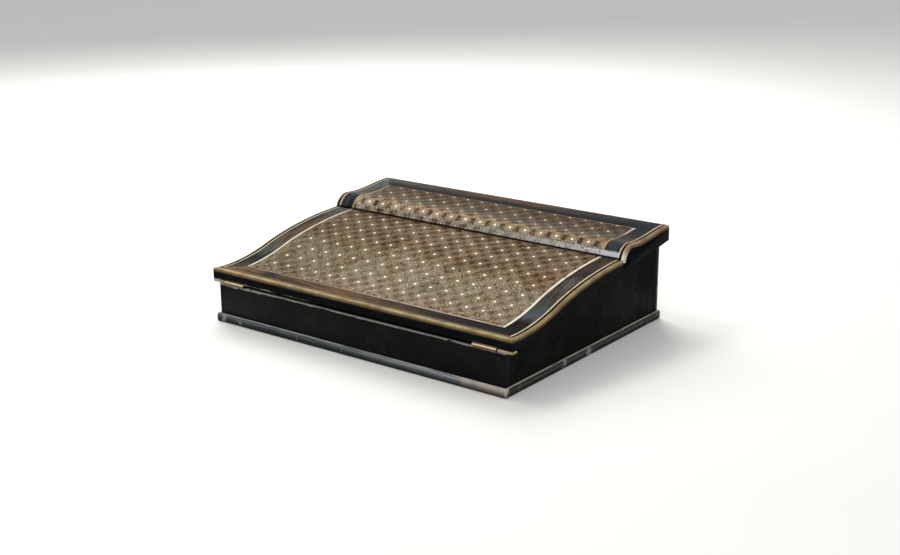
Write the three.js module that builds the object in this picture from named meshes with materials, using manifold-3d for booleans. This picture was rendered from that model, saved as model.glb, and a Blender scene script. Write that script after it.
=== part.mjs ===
// A slope-front writing box of ebonised wood with an inlaid, ogee-shaped top.
// The front flap turns forward on two butt hinges and gives a sloping writing surface.
// The rear lid turns back on two more hinges and uncovers the pen tray and the inkwells.
// Millimetres, +Z up, front towards -Y. The origin is at the middle of the base, on the table.

import * as THREE from 'three';
import { mergeVertices } from 'three/addons/utils/BufferGeometryUtils.js';
import Module from 'manifold-3d';

const wasm = await Module();
wasm.setup();

// Overall sizes of the top

const TOP_WIDTH = 450;
const TOP_DEPTH = 336;
const LID_DEPTH = 108.6;
const TOP_SLOT = 0.8;
const FLAP_DEPTH = TOP_DEPTH - LID_DEPTH - TOP_SLOT;

// Heights of the top's outline above the table, worked down from the back

const REAR_HEIGHT = 120;
const HOLLOW_FALL = 4.2;
const ROLL_FALL = 15.6;
const ROLL_FOOT_DROP = 3.2;
const FLAP_FALL = 32.3;
const SWELL_RISE = 11.9;
const ROLL_TOP_HEIGHT = REAR_HEIGHT - HOLLOW_FALL;
const FLAP_REAR_HEIGHT = ROLL_TOP_HEIGHT - ROLL_FALL;
const FRONT_HEIGHT = FLAP_REAR_HEIGHT - FLAP_FALL;

// How the outline runs between those heights: places, slopes and lengths of the curve arms

const SWELL_PLACE = 92;
const ROLL_RUN = 22.6;
const FRONT_SLOPE = -0.083;
const SWELL_SLOPE = 0.32;
const FLAP_REAR_SLOPE = 0.028;
const CREST_SLOPE = -0.1;
const REAR_SLOPE = 0.006;
const FRONT_ARM = 30;
const SWELL_ARM = 30;
const FLAP_REAR_ARM = 56;
const ROLL_FOOT_ARM = 9;
const ROLL_CREST_ARM = 13;
const HOLLOW_ARM = 32;
const CURVE_STEPS = 15;

// Thickness of the flap and of the lid

const FLAP_FRONT_THICKNESS = 14;
const FLAP_REAR_THICKNESS = 14;
const LID_REAR_THICKNESS = 19.4;
const FLAP_FRONT_LAND = 15;

// Inlay widths, from the outer edge of the top inwards

const VENEER = 1.2;
const BEAD_HEIGHT = 4.6;
const BEAD_SHOULDER = 2.85;
const SIDE_BEAD = 4.2;
const FRONT_BEAD = 6.5;
const SIDE_LIP = 3;
const FRONT_LIP = 1.6;
const REAR_LIP = 1.2;
const SIDE_OUTER_LINE = 2.2;
const FRONT_OUTER_LINE = 1.6;
const REAR_OUTER_LINE = 1.8;
const SIDE_BORDER = 20;
const FRONT_BORDER = 18;
const REAR_BORDER = 27;
const SIDE_INNER_LINE = 3.4;
const FRONT_INNER_LINE = 2.4;
const REAR_INNER_LINE = 2;

// The case under the top

const SIDE_OVERHANG = 9.2;
const FRONT_OVERHANG = 1;
const REAR_OVERHANG = 5;
const WALL = 10;
const BASE_THICKNESS = 8;
const PLINTH_HEIGHT = 11.2;
const PLINTH_OUT = 3.6;
const PLINTH_SHOULDER = 7.4;
const FRONT_REVEAL = 4.3;
const BEARER_THICKNESS = 12;
const DIVIDER_THICKNESS = 6;
const DIVIDER_HEIGHT = 66;
const INK_BAY_WIDTH = 55;

// What lies in the rear compartment

const TRAY_WALL = 4;
const TRAY_FLOOR = 5;
const TRAY_HEIGHT = 52;
const WELL_SIDE = 49;
const WELL_HEIGHT = 42;
const WELL_CORNER = 5;
const WELL_BORE = 17;
const WELL_DEPTH = 34;
const CAP_RADIUS = 20.5;
const CAP_HEIGHT = 5;
const CAP_SPIGOT = 4;
const CAP_KNOB_RADIUS = 4.5;
const CAP_KNOB_HEIGHT = 9;

// Writing surface, inside the flap

const LINING_THICKNESS = 0.8;
const LINING_MARGIN = 14;

// Hinges and their screws

const HINGE_LENGTH = 32;
const HINGE_INSET = 36;
const KNUCKLE_RADIUS = 1.8;
const KNUCKLES = 3;
const PIN_RADIUS = 0.9;
const LEAF_THICKNESS = 1.1;
const LEAF_WIDTH = 9.4;
const BACK_LEAF_WIDTH = 12;
const SCREW_RADIUS = 0.9;
const SCREW_HEAD_RADIUS = 1.9;
const SCREW_HEAD_HEIGHT = 0.9;
const SCREW_LENGTH = 7;
const SCREW_SPACING = 18;
const SCREW_SETBACK = 5.35;
const LINK = 1.2;
const STRIP_DEPTH = 9;

// Clearances

const GAP = 0.3;
const SEAT = 0.3;
const RUNNING = 0.3;
const LEAF_CLEARANCE = 0.3;
const LEAF_INSET = 0.1;
const TURNING = 0.25;

// Colours of the woods and metals

/** A finish: its colour, its roughness and whether it is metal. */
const material = (color, roughness, metalness = 0) => (
  new THREE.MeshStandardMaterial({ color, roughness, metalness })
);

const EBONISED = material(0x0d0c0b, 0.35);
const PLAIN_WOOD = material(0x5a3420, 0.6);
const MOSAIC = material(0x6a5538, 0.4);
const DARK_BORDER = material(0x15161a, 0.3);
const BROWN_BORDER = material(0x3a2118, 0.35);
const BONE = material(0xd9cdb4, 0.4);
const BRASS = material(0xa98a45, 0.35, 1);
const BRASS_BEAD = material(0x8d7639, 0.4, 1);
const LEATHER = material(0x3f1612, 0.7);
const GLASS = material(0xbfd0cf, 0.08);

// Derived places. Inside the box, T runs back from the front edge of the top.

const HALF_WIDTH = TOP_WIDTH / 2;
const HINGE_PLACE = HALF_WIDTH - HINGE_INSET;
const LID_START = FLAP_DEPTH + TOP_SLOT;
const CASE_HALF = HALF_WIDTH - SIDE_OVERHANG;
const CASE_FRONT = FRONT_OVERHANG;
const CASE_REAR = TOP_DEPTH - REAR_OVERHANG;
const INNER_HALF = CASE_HALF - WALL;
const INNER_FRONT = CASE_FRONT + WALL;
const INNER_REAR = CASE_REAR - WALL;
const OVERALL_DEPTH = TOP_DEPTH + PLINTH_OUT - FRONT_OVERHANG;
const TOP_FRONT_Y = PLINTH_OUT - FRONT_OVERHANG - OVERALL_DEPTH / 2;
const ROLL_FOOT_HEIGHT = FLAP_REAR_HEIGHT - ROLL_FOOT_DROP;
const FIELD_DEPTH = VENEER + GAP;
const SHOULDER_DEPTH = BEAD_HEIGHT + GAP;
const FLOOR_Z = BASE_THICKNESS + SEAT;

const v2 = (t, z) => new THREE.Vector2(t, z);

/** A curve arm: the control point that lies a run away from a point, on a slope. */
const arm = (point, run, slope) => v2(point.x + run, point.y + run * slope);

// Outline of the flap's top: a hollow, then a swell

const flapFoot = v2(0, FRONT_HEIGHT);
const flapSwell = v2(SWELL_PLACE, FRONT_HEIGHT + SWELL_RISE);
const flapHead = v2(FLAP_DEPTH, FLAP_REAR_HEIGHT);
const flapLine = [
  new THREE.CubicBezierCurve(
    flapFoot,
    arm(flapFoot, FRONT_ARM, FRONT_SLOPE),
    arm(flapSwell, -SWELL_ARM, SWELL_SLOPE),
    flapSwell,
  ),
  new THREE.CubicBezierCurve(
    flapSwell,
    arm(flapSwell, SWELL_ARM, SWELL_SLOPE),
    arm(flapHead, -FLAP_REAR_ARM, FLAP_REAR_SLOPE),
    flapHead,
  ),
];

// Outline of the lid's top: a quarter roll that starts upright, then a shallow hollow

const rollFoot = v2(LID_START, ROLL_FOOT_HEIGHT);
const rollCrest = v2(LID_START + ROLL_RUN, ROLL_TOP_HEIGHT);
const lidTail = v2(TOP_DEPTH, REAR_HEIGHT);
const lidLine = [
  new THREE.CubicBezierCurve(
    rollFoot,
    v2(rollFoot.x, rollFoot.y + ROLL_FOOT_ARM),
    arm(rollCrest, -ROLL_CREST_ARM, CREST_SLOPE),
    rollCrest,
  ),
  new THREE.CubicBezierCurve(
    rollCrest,
    arm(rollCrest, HOLLOW_ARM, CREST_SLOPE),
    arm(lidTail, -HOLLOW_ARM, REAR_SLOPE),
    lidTail,
  ),
];

/** Points of a line, each moved square to the line into the wood by a depth. */
function sunk(line, depth) {
  return line.flatMap((curve, part) => {
    const points = [];
    for (let step = part === 0 ? 0 : 1; step <= CURVE_STEPS; step += 1) {
      const place = step / CURVE_STEPS;
      const tangent = curve.getTangent(place);
      points.push(curve.getPoint(place).add(v2(tangent.y, -tangent.x).multiplyScalar(depth)));
    }
    return points;
  });
}

/** Height of a line's points at a place T, read between the two nearest points. */
function heightAt(points, t) {
  const next = points.findIndex((point) => point.x >= t);
  const high = points[Math.max(next, 1)];
  const low = points[Math.max(next, 1) - 1];
  return low.y + ((high.y - low.y) * (t - low.x)) / (high.x - low.x);
}

/** Underside of the flap's edges, which follows the top and thins towards the slot. */
const flapUnder = sunk(flapLine, 0).map((point) => {
  const share = point.x / FLAP_DEPTH;
  return v2(point.x, point.y - THREE.MathUtils.lerp(FLAP_FRONT_THICKNESS, FLAP_REAR_THICKNESS, share));
});
const FLAP_UNDER_FRONT = flapUnder[0].y;
const FLAP_UNDER_REAR = flapUnder[flapUnder.length - 1].y;
const PLANE_SLOPE = (FLAP_UNDER_REAR - FLAP_UNDER_FRONT) / FLAP_DEPTH;
const LID_UNDER_FRONT = FLAP_UNDER_REAR;
const LID_UNDER_REAR = REAR_HEIGHT - LID_REAR_THICKNESS;
const LID_SLOPE = (LID_UNDER_REAR - LID_UNDER_FRONT) / (TOP_DEPTH - LID_START);

/** The flat writing plane inside the flap, from its front edge to the slot. */
const writingPlane = (t) => FLAP_UNDER_FRONT + PLANE_SLOPE * t;

/** The flat underside of the lid. */
const lidUnder = (t) => LID_UNDER_FRONT + LID_SLOPE * (t - LID_START);

// Turning solids into meshes and back

/** A closed geometry as a solid that can be cut and joined. */
function solidOf(geometry) {
  const bare = geometry.clone();
  bare.deleteAttribute('normal');
  bare.deleteAttribute('uv');
  const merged = mergeVertices(bare);
  return new wasm.Manifold(new wasm.Mesh({
    numProp: 3,
    vertProperties: new Float32Array(merged.attributes.position.array),
    triVerts: new Uint32Array(merged.index.array),
  }));
}

/** A cut or joined solid as a three.js geometry. */
function geometryOf(solid) {
  const mesh = solid.getMesh();
  const geometry = new THREE.BufferGeometry();
  geometry.setAttribute('position', new THREE.BufferAttribute(new Float32Array(mesh.vertProperties), 3));
  geometry.setIndex(new THREE.BufferAttribute(new Uint32Array(mesh.triVerts), 1));
  geometry.computeVertexNormals();
  return geometry;
}

/** Joins solids into one. */
const join = (first, ...others) => others.reduce((whole, other) => whole.add(other), first);

/** Cuts solids out of one. */
const cut = (first, ...others) => others.reduce((whole, other) => whole.subtract(other), first);

const ACROSS = new THREE.Matrix4().makeBasis(
  new THREE.Vector3(0, 1, 0),
  new THREE.Vector3(0, 0, 1),
  new THREE.Vector3(1, 0, 0),
);

/** A section drawn in T and Z, carried across the box from one X to another. */
function across(section, x0, x1) {
  const shape = section instanceof THREE.Shape ? section : new THREE.Shape(section);
  const geometry = new THREE.ExtrudeGeometry(shape, {
    depth: x1 - x0,
    bevelEnabled: false,
    curveSegments: 8,
  });
  geometry.applyMatrix4(ACROSS);
  geometry.translate(x0, 0, 0);
  return solidOf(geometry);
}

/** A plan drawn in X and T, carried up from one Z to another. */
function upright(plan, z0, z1) {
  const shape = plan instanceof THREE.Shape ? plan : new THREE.Shape(plan);
  const geometry = new THREE.ExtrudeGeometry(shape, {
    depth: z1 - z0,
    bevelEnabled: false,
    curveSegments: 6,
  });
  geometry.translate(0, 0, z0);
  return solidOf(geometry);
}

/** A plain block between two corners. */
function block(x0, x1, t0, t1, z0, z1) {
  const geometry = new THREE.BoxGeometry(x1 - x0, t1 - t0, z1 - z0);
  geometry.translate((x0 + x1) / 2, (t0 + t1) / 2, (z0 + z1) / 2);
  return solidOf(geometry);
}

/** A round bar along X, centred on a place in T and Z. */
function barAlongX(x0, x1, t, z, radius) {
  const geometry = new THREE.CylinderGeometry(radius, radius, x1 - x0, 20);
  geometry.rotateZ(Math.PI / 2);
  geometry.translate((x0 + x1) / 2, t, z);
  return solidOf(geometry);
}

/** A rectangle in plan. */
const planBox = (x0, x1, t0, t1) => [v2(x0, t0), v2(x1, t0), v2(x1, t1), v2(x0, t1)];

/** The mirror image of a plan, left for right. */
const mirrored = (plan) => plan.map((point) => v2(-point.x, point.y)).reverse();

/** A band in plan that runs round three sides: two long arms joined at their closed end. */
function bandPlan(outerHalf, outerT, innerHalf, innerT, openT) {
  return [
    v2(-outerHalf, openT),
    v2(-outerHalf, outerT),
    v2(outerHalf, outerT),
    v2(outerHalf, openT),
    v2(innerHalf, openT),
    v2(innerHalf, innerT),
    v2(-innerHalf, innerT),
    v2(-innerHalf, openT),
  ];
}

/** A layer of a top between two depths under its line, with the outline of a plan. */
function layer(line, upper, lower, plan) {
  const section = [...sunk(line, upper), ...sunk(line, lower).reverse()];
  const high = REAR_HEIGHT + PLINTH_HEIGHT;
  return across(section, -HALF_WIDTH - GAP, HALF_WIDTH + GAP).intersect(upright(plan, 0, high));
}

/** A bead of quarter-round section that follows a line along one side of the top. */
function sideBead(line, side) {
  const path = new THREE.CurvePath();
  const inner = HALF_WIDTH - SIDE_BEAD;
  for (const curve of line) {
    const [a, b, c, d] = [curve.v0, curve.v1, curve.v2, curve.v3]
      .map((point) => new THREE.Vector3(side * inner, point.x, point.y));
    path.add(new THREE.CubicBezierCurve3(a, b, c, d));
  }
  const outward = -side * SIDE_BEAD;
  const section = new THREE.Shape();
  section.moveTo(0, -BEAD_HEIGHT);
  section.lineTo(0, 0);
  section.quadraticCurveTo(outward, 0, outward, -BEAD_SHOULDER);
  section.lineTo(outward, -BEAD_HEIGHT);
  section.closePath();
  return new THREE.ExtrudeGeometry(section, {
    steps: 2 * CURVE_STEPS,
    curveSegments: 6,
    extrudePath: path,
    bevelEnabled: false,
  });
}

// Inlay boundaries, worked inwards from the edge

const BEAD_IN = HALF_WIDTH - SIDE_BEAD;
const LIP_IN = BEAD_IN - SIDE_LIP;
const OUTER_LINE_IN = LIP_IN - SIDE_OUTER_LINE;
const BORDER_IN = OUTER_LINE_IN - SIDE_BORDER;
const MOSAIC_HALF = BORDER_IN - SIDE_INNER_LINE;

const FRONT_LIP_T = FRONT_BEAD + FRONT_LIP;
const FRONT_LINE_T = FRONT_LIP_T + FRONT_OUTER_LINE;
const FRONT_BORDER_T = FRONT_LINE_T + FRONT_BORDER;
const FRONT_MOSAIC_T = FRONT_BORDER_T + FRONT_INNER_LINE;

const REAR_LIP_T = TOP_DEPTH - REAR_LIP;
const REAR_LINE_T = REAR_LIP_T - REAR_OUTER_LINE;
const REAR_BORDER_T = REAR_LINE_T - REAR_BORDER;
const REAR_MOSAIC_T = REAR_BORDER_T - REAR_INNER_LINE;

const H = GAP / 2;

// The scene: one group for the whole box, with groups for what turns

const writingBox = new THREE.Group();
const inside = new THREE.Group();
inside.position.set(0, TOP_FRONT_Y, 0);
writingBox.add(inside);

/** Adds one named piece to the box. */
function piece(name, shape, finish, parent = inside) {
  const geometry = shape instanceof THREE.BufferGeometry ? shape : geometryOf(shape);
  const mesh = new THREE.Mesh(geometry, finish);
  mesh.name = name;
  parent.add(mesh);
  return mesh;
}

// Hinge places

const FLAP_AXIS_T = 0;
const FLAP_AXIS_Z = FLAP_UNDER_FRONT - KNUCKLE_RADIUS - RUNNING;
const FRONT_WALL_TOP = FLAP_UNDER_FRONT - FRONT_REVEAL;
const LID_AXIS_T = CASE_REAR;
const LID_AXIS_Z = lidUnder(CASE_REAR) - KNUCKLE_RADIUS - RUNNING - TURNING;
const LEAF_HALF = HINGE_LENGTH / 2;
const SIDES = [['left', -1], ['right', 1]];

/** Spans along X of the knuckles that belong to one leaf, measured from the hinge's middle. */
function knuckleSpans(first) {
  const pitch = HINGE_LENGTH / KNUCKLES;
  const spans = [];
  for (let index = first; index < KNUCKLES; index += 2) {
    spans.push([-LEAF_HALF + index * pitch + H, -LEAF_HALF + (index + 1) * pitch - H]);
  }
  return spans;
}

/** A hole for the hinge pin through a knuckle. */
const pinBore = () => barAlongX(-LEAF_HALF - GAP, LEAF_HALF + GAP, 0, 0, PIN_RADIUS + RUNNING);

/** A screw drawn upright, its head down and its tip up, with room added all round. */
function screwSolid(room) {
  const flat = SCREW_HEAD_HEIGHT;
  const profile = [
    v2(0, -room),
    v2(SCREW_HEAD_RADIUS + room, -room),
    v2(SCREW_RADIUS + room, flat),
    v2(SCREW_RADIUS + room, SCREW_LENGTH - SCREW_RADIUS),
    v2(0, SCREW_LENGTH + room),
  ];
  const geometry = new THREE.LatheGeometry(profile, 14);
  geometry.rotateX(Math.PI / 2);
  return solidOf(geometry);
}

/** Screw places on a leaf, along X from the hinge's middle. */
const SCREW_PLACES = [-SCREW_SPACING / 2, SCREW_SPACING / 2];

// Front hinges: the leaves lie flat, one on the front wall and one under the flap

const LEAF_FAR = LEAF_INSET + LEAF_WIDTH;
const PLATE_OFFSET = KNUCKLE_RADIUS + RUNNING;
const FLAP_PLATE_OFFSET = PLATE_OFFSET - LEAF_INSET;
const WALL_LINK = CASE_FRONT - FLAP_AXIS_T - GAP;

/** The fixed leaf of a front hinge, about its own axis. */
function frontFixedLeaf() {
  const plate = block(
    -LEAF_HALF, LEAF_HALF,
    LEAF_INSET, LEAF_FAR,
    -PLATE_OFFSET - LEAF_THICKNESS, -PLATE_OFFSET,
  );
  const knuckles = knuckleSpans(0).map(([x0, x1]) => join(
    barAlongX(x0, x1, 0, 0, KNUCKLE_RADIUS),
    block(x0, x1, LEAF_INSET, WALL_LINK, -PLATE_OFFSET - LEAF_THICKNESS / 2, -KNUCKLE_RADIUS / 2),
  ));
  const screws = SCREW_PLACES.map((x) => screwSolid(TURNING)
    .rotate([180, 0, 0])
    .translate([x, SCREW_SETBACK, -PLATE_OFFSET]));
  return cut(join(plate, ...knuckles), pinBore(), ...screws);
}

/** The moving leaf of a front hinge, about its own axis, with the flap shut. */
function frontMovingLeaf() {
  const plate = block(
    -LEAF_HALF, LEAF_HALF,
    LEAF_INSET, LEAF_FAR,
    FLAP_PLATE_OFFSET, FLAP_PLATE_OFFSET + LEAF_THICKNESS,
  );
  const knuckles = knuckleSpans(1).map(([x0, x1]) => join(
    barAlongX(x0, x1, 0, 0, KNUCKLE_RADIUS),
    block(x0, x1, LEAF_INSET, LEAF_INSET + LINK, KNUCKLE_RADIUS / 2, PLATE_OFFSET + LEAF_THICKNESS / 2),
  ));
  const screws = SCREW_PLACES.map((x) => screwSolid(TURNING)
    .translate([x, SCREW_SETBACK, FLAP_PLATE_OFFSET]));
  return cut(join(plate, ...knuckles), pinBore(), ...screws);
}

/** The pin that both leaves of a hinge turn on. */
const hingePin = () => barAlongX(-LEAF_HALF, LEAF_HALF, 0, 0, PIN_RADIUS);

// Rear hinges: one leaf is let into the back, the other into the sloping underside of the lid

const LID_TILT = Math.atan(LID_SLOPE);

/** The fixed leaf of a rear hinge, about its own axis. */
function rearFixedLeaf() {
  const plate = block(
    -LEAF_HALF, LEAF_HALF,
    -LEAF_THICKNESS - LEAF_INSET, -LEAF_INSET,
    -PLATE_OFFSET - BACK_LEAF_WIDTH, -PLATE_OFFSET,
  );
  const knuckles = knuckleSpans(0).map(([x0, x1]) => join(
    barAlongX(x0, x1, 0, 0, KNUCKLE_RADIUS),
    block(
      x0, x1,
      -LEAF_THICKNESS - LEAF_INSET, -LEAF_INSET,
      -PLATE_OFFSET - LEAF_THICKNESS, -KNUCKLE_RADIUS / 2,
    ),
  ));
  return cut(join(plate, ...knuckles), pinBore());
}

/** The moving leaf of a rear hinge, about its own axis, with the lid shut. */
function rearMovingLeaf() {
  const plate = block(
    -LEAF_HALF, LEAF_HALF,
    -BACK_LEAF_WIDTH, -LEAF_INSET,
    PLATE_OFFSET, PLATE_OFFSET + LEAF_THICKNESS,
  );
  const knuckles = knuckleSpans(1).map(([x0, x1]) => join(
    barAlongX(x0, x1, 0, 0, KNUCKLE_RADIUS),
    block(
      x0, x1,
      -LEAF_INSET - LINK, -LEAF_INSET,
      KNUCKLE_RADIUS / 2, PLATE_OFFSET + LEAF_THICKNESS / 2,
    ),
  ));
  const tilt = THREE.MathUtils.radToDeg(LID_TILT);
  return cut(join(plate, ...knuckles).rotate([tilt, 0, 0]), pinBore());
}

// Room for the hinges in the wood

/** Room in the front wall for a fixed leaf, its link and its screws. */
function frontWallRoom(x) {
  const low = FLAP_AXIS_Z - PLATE_OFFSET - LEAF_THICKNESS - LEAF_CLEARANCE;
  const room = block(
    x - LEAF_HALF - LEAF_CLEARANCE, x + LEAF_HALF + LEAF_CLEARANCE,
    -LEAF_CLEARANCE, LEAF_FAR + LEAF_CLEARANCE,
    low, FRONT_WALL_TOP + PLATE_OFFSET,
  );
  const screws = SCREW_PLACES.map((place) => screwSolid(GAP)
    .rotate([180, 0, 0])
    .translate([x + place, SCREW_SETBACK, FLAP_AXIS_Z - PLATE_OFFSET]));
  return join(room, ...screws);
}

/** Room under the flap for a moving leaf, its link and its screws. */
function flapRoom(x) {
  const high = FLAP_AXIS_Z + PLATE_OFFSET + LEAF_THICKNESS + LEAF_CLEARANCE;
  const room = block(
    x - LEAF_HALF - LEAF_CLEARANCE, x + LEAF_HALF + LEAF_CLEARANCE,
    -LEAF_CLEARANCE, LEAF_FAR + LEAF_CLEARANCE,
    FLAP_AXIS_Z, high,
  );
  const screws = SCREW_PLACES.map((place) => screwSolid(GAP)
    .translate([x + place, SCREW_SETBACK, FLAP_AXIS_Z + FLAP_PLATE_OFFSET]));
  return join(room, ...screws);
}

/** Room in the rear wall for a fixed leaf and the knuckles. */
function rearWallRoom(x) {
  const half = LEAF_HALF + LEAF_CLEARANCE;
  const knuckle = KNUCKLE_RADIUS + LEAF_CLEARANCE + TURNING;
  const leaf = block(
    x - half, x + half,
    LID_AXIS_T - LEAF_THICKNESS - LEAF_CLEARANCE, LID_AXIS_T + GAP,
    LID_AXIS_Z - PLATE_OFFSET - BACK_LEAF_WIDTH - LEAF_CLEARANCE, REAR_HEIGHT,
  );
  const barrel = block(
    x - half, x + half,
    LID_AXIS_T - knuckle, LID_AXIS_T + GAP,
    LID_AXIS_Z - knuckle, REAR_HEIGHT,
  );
  return join(leaf, barrel);
}

/** Room in the underside of the lid for a moving leaf. */
function lidRoom(x) {
  const half = LEAF_HALF + LEAF_CLEARANCE;
  const tilt = THREE.MathUtils.radToDeg(LID_TILT);
  return block(
    -half, half,
    -BACK_LEAF_WIDTH - LEAF_CLEARANCE, LINK,
    0, PLATE_OFFSET + LEAF_THICKNESS + LEAF_CLEARANCE,
  ).rotate([tilt, 0, 0]).translate([x, LID_AXIS_T, LID_AXIS_Z]);
}

// The case

piece('bottom_board', block(-CASE_HALF, CASE_HALF, CASE_FRONT, CASE_REAR, 0, BASE_THICKNESS), PLAIN_WOOD);

piece('front_wall', cut(
  block(-CASE_HALF, CASE_HALF, CASE_FRONT, INNER_FRONT, FLOOR_Z, FRONT_WALL_TOP),
  ...SIDES.map(([, side]) => frontWallRoom(side * HINGE_PLACE)),
), EBONISED);

piece('rear_wall', cut(
  across([
    v2(INNER_REAR, FLOOR_Z),
    v2(CASE_REAR, FLOOR_Z),
    v2(CASE_REAR, lidUnder(CASE_REAR) - GAP - H),
    v2(INNER_REAR, lidUnder(INNER_REAR) - GAP - H),
  ], -CASE_HALF, CASE_HALF),
  ...SIDES.map(([, side]) => rearWallRoom(side * HINGE_PLACE)),
), EBONISED);

/** A side wall: its top follows the underside of the flap's edge, then that of the lid. */
function sideWall(x0, x1) {
  const front = INNER_FRONT + GAP;
  const back = INNER_REAR - GAP;
  const crest = flapUnder
    .filter((point) => point.x > front && point.x < FLAP_DEPTH)
    .map((point) => v2(point.x, point.y - SEAT));
  return across([
    v2(front, FLOOR_Z),
    v2(back, FLOOR_Z),
    v2(back, lidUnder(back) - GAP - H),
    v2(LID_START, lidUnder(LID_START) - SEAT),
    ...crest.reverse(),
    v2(front, heightAt(flapUnder, front) - SEAT),
  ], x0, x1);
}

piece('left_wall', sideWall(-CASE_HALF, -INNER_HALF), EBONISED);
piece('right_wall', sideWall(INNER_HALF, CASE_HALF), EBONISED);

/** Section of a plinth strip: a flat foot with a rounded shoulder, measured out from the wall. */
function plinthSection(out) {
  const shape = new THREE.Shape();
  shape.moveTo(-GAP * out, 0);
  shape.lineTo(-GAP * out, PLINTH_HEIGHT);
  shape.quadraticCurveTo(-PLINTH_OUT * out, PLINTH_HEIGHT, -PLINTH_OUT * out, PLINTH_SHOULDER);
  shape.lineTo(-PLINTH_OUT * out, 0);
  shape.closePath();
  return shape;
}

const plinthReach = CASE_HALF + PLINTH_OUT;
const frontStrip = new THREE.ExtrudeGeometry(plinthSection(1), {
  depth: 2 * plinthReach,
  bevelEnabled: false,
  curveSegments: 5,
});
frontStrip.applyMatrix4(ACROSS);
frontStrip.translate(-plinthReach, CASE_FRONT, 0);
const frontStripPlan = [
  v2(-plinthReach + H, CASE_FRONT - PLINTH_OUT),
  v2(plinthReach - H, CASE_FRONT - PLINTH_OUT),
  v2(CASE_HALF - H, CASE_FRONT),
  v2(-CASE_HALF + H, CASE_FRONT),
];
piece('front_plinth', solidOf(frontStrip).intersect(upright(frontStripPlan, 0, PLINTH_HEIGHT)), EBONISED);

/** A side strip of the plinth, mitred to the front strip and square at the back. */
function sidePlinth(side) {
  const strip = new THREE.ExtrudeGeometry(plinthSection(1), {
    depth: CASE_REAR - CASE_FRONT + PLINTH_OUT,
    bevelEnabled: false,
    curveSegments: 5,
  });
  strip.rotateX(Math.PI / 2);
  strip.translate(-CASE_HALF, CASE_REAR, 0);
  const plan = [
    v2(-plinthReach, CASE_FRONT - PLINTH_OUT + H),
    v2(-CASE_HALF, CASE_FRONT + H),
    v2(-CASE_HALF, CASE_REAR),
    v2(-plinthReach, CASE_REAR),
  ];
  const left = solidOf(strip).intersect(upright(plan, 0, PLINTH_HEIGHT));
  return side < 0 ? left : left.mirror([1, 0, 0]);
}

piece('left_plinth', sidePlinth(-1), EBONISED);
piece('right_plinth', sidePlinth(1), EBONISED);

// The bearer under the slot between flap and lid, and the partitions behind it

const BEARER_MID = FLAP_DEPTH + TOP_SLOT / 2;
const BEARER_FRONT = BEARER_MID - BEARER_THICKNESS / 2;
const BEARER_REAR = BEARER_MID + BEARER_THICKNESS / 2;

piece('bearer', across([
  v2(BEARER_FRONT, FLOOR_Z),
  v2(BEARER_REAR, FLOOR_Z),
  v2(BEARER_REAR, lidUnder(BEARER_REAR) - SEAT),
  v2(BEARER_MID, lidUnder(BEARER_MID) - SEAT),
  v2(BEARER_MID, writingPlane(BEARER_MID) - SEAT),
  v2(BEARER_FRONT, writingPlane(BEARER_FRONT) - SEAT),
], -INNER_HALF + GAP, INNER_HALF - GAP), EBONISED);

const BAY_EDGE = INNER_HALF - INK_BAY_WIDTH;
const BAY_FRONT = BEARER_REAR + GAP;
const BAY_REAR = INNER_REAR - GAP;

for (const [name, side] of SIDES) {
  const near = side * BAY_EDGE;
  const far = side * (BAY_EDGE - DIVIDER_THICKNESS);
  piece(`ink_divider_${name}`, block(
    Math.min(near, far), Math.max(near, far),
    BAY_FRONT, BAY_REAR,
    FLOOR_Z, FLOOR_Z + DIVIDER_HEIGHT,
  ), PLAIN_WOOD);
}

// The pen tray: a lift-out box with a rounded trough

const TRAY_HALF = BAY_EDGE - DIVIDER_THICKNESS - GAP;
const TRAY_FRONT = BAY_FRONT + GAP;
const TRAY_REAR = BAY_REAR - GAP;
const trayTrough = new THREE.Shape();
const troughFront = TRAY_FRONT + TRAY_WALL;
const troughRear = TRAY_REAR - TRAY_WALL;
const troughFloor = FLOOR_Z + TRAY_FLOOR;
const troughBend = (TRAY_HEIGHT - TRAY_FLOOR) / 2;
trayTrough.moveTo(troughFront, REAR_HEIGHT);
trayTrough.lineTo(troughFront, troughFloor + troughBend);
trayTrough.quadraticCurveTo(troughFront, troughFloor, troughFront + troughBend, troughFloor);
trayTrough.lineTo(troughRear - troughBend, troughFloor);
trayTrough.quadraticCurveTo(troughRear, troughFloor, troughRear, troughFloor + troughBend);
trayTrough.lineTo(troughRear, REAR_HEIGHT);
trayTrough.closePath();

piece('pen_tray', cut(
  block(-TRAY_HALF, TRAY_HALF, TRAY_FRONT, TRAY_REAR, FLOOR_Z, FLOOR_Z + TRAY_HEIGHT),
  across(trayTrough, -TRAY_HALF + TRAY_WALL, TRAY_HALF - TRAY_WALL),
), PLAIN_WOOD);

// Inkwells with their caps, one in each bay

const wellPlan = new THREE.Shape();
const wellHalf = WELL_SIDE / 2;
const wellFlat = wellHalf - WELL_CORNER;
wellPlan.moveTo(-wellFlat, -wellHalf);
wellPlan.lineTo(wellFlat, -wellHalf);
wellPlan.quadraticCurveTo(wellHalf, -wellHalf, wellHalf, -wellFlat);
wellPlan.lineTo(wellHalf, wellFlat);
wellPlan.quadraticCurveTo(wellHalf, wellHalf, wellFlat, wellHalf);
wellPlan.lineTo(-wellFlat, wellHalf);
wellPlan.quadraticCurveTo(-wellHalf, wellHalf, -wellHalf, wellFlat);
wellPlan.lineTo(-wellHalf, -wellFlat);
wellPlan.quadraticCurveTo(-wellHalf, -wellHalf, -wellFlat, -wellHalf);

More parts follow.
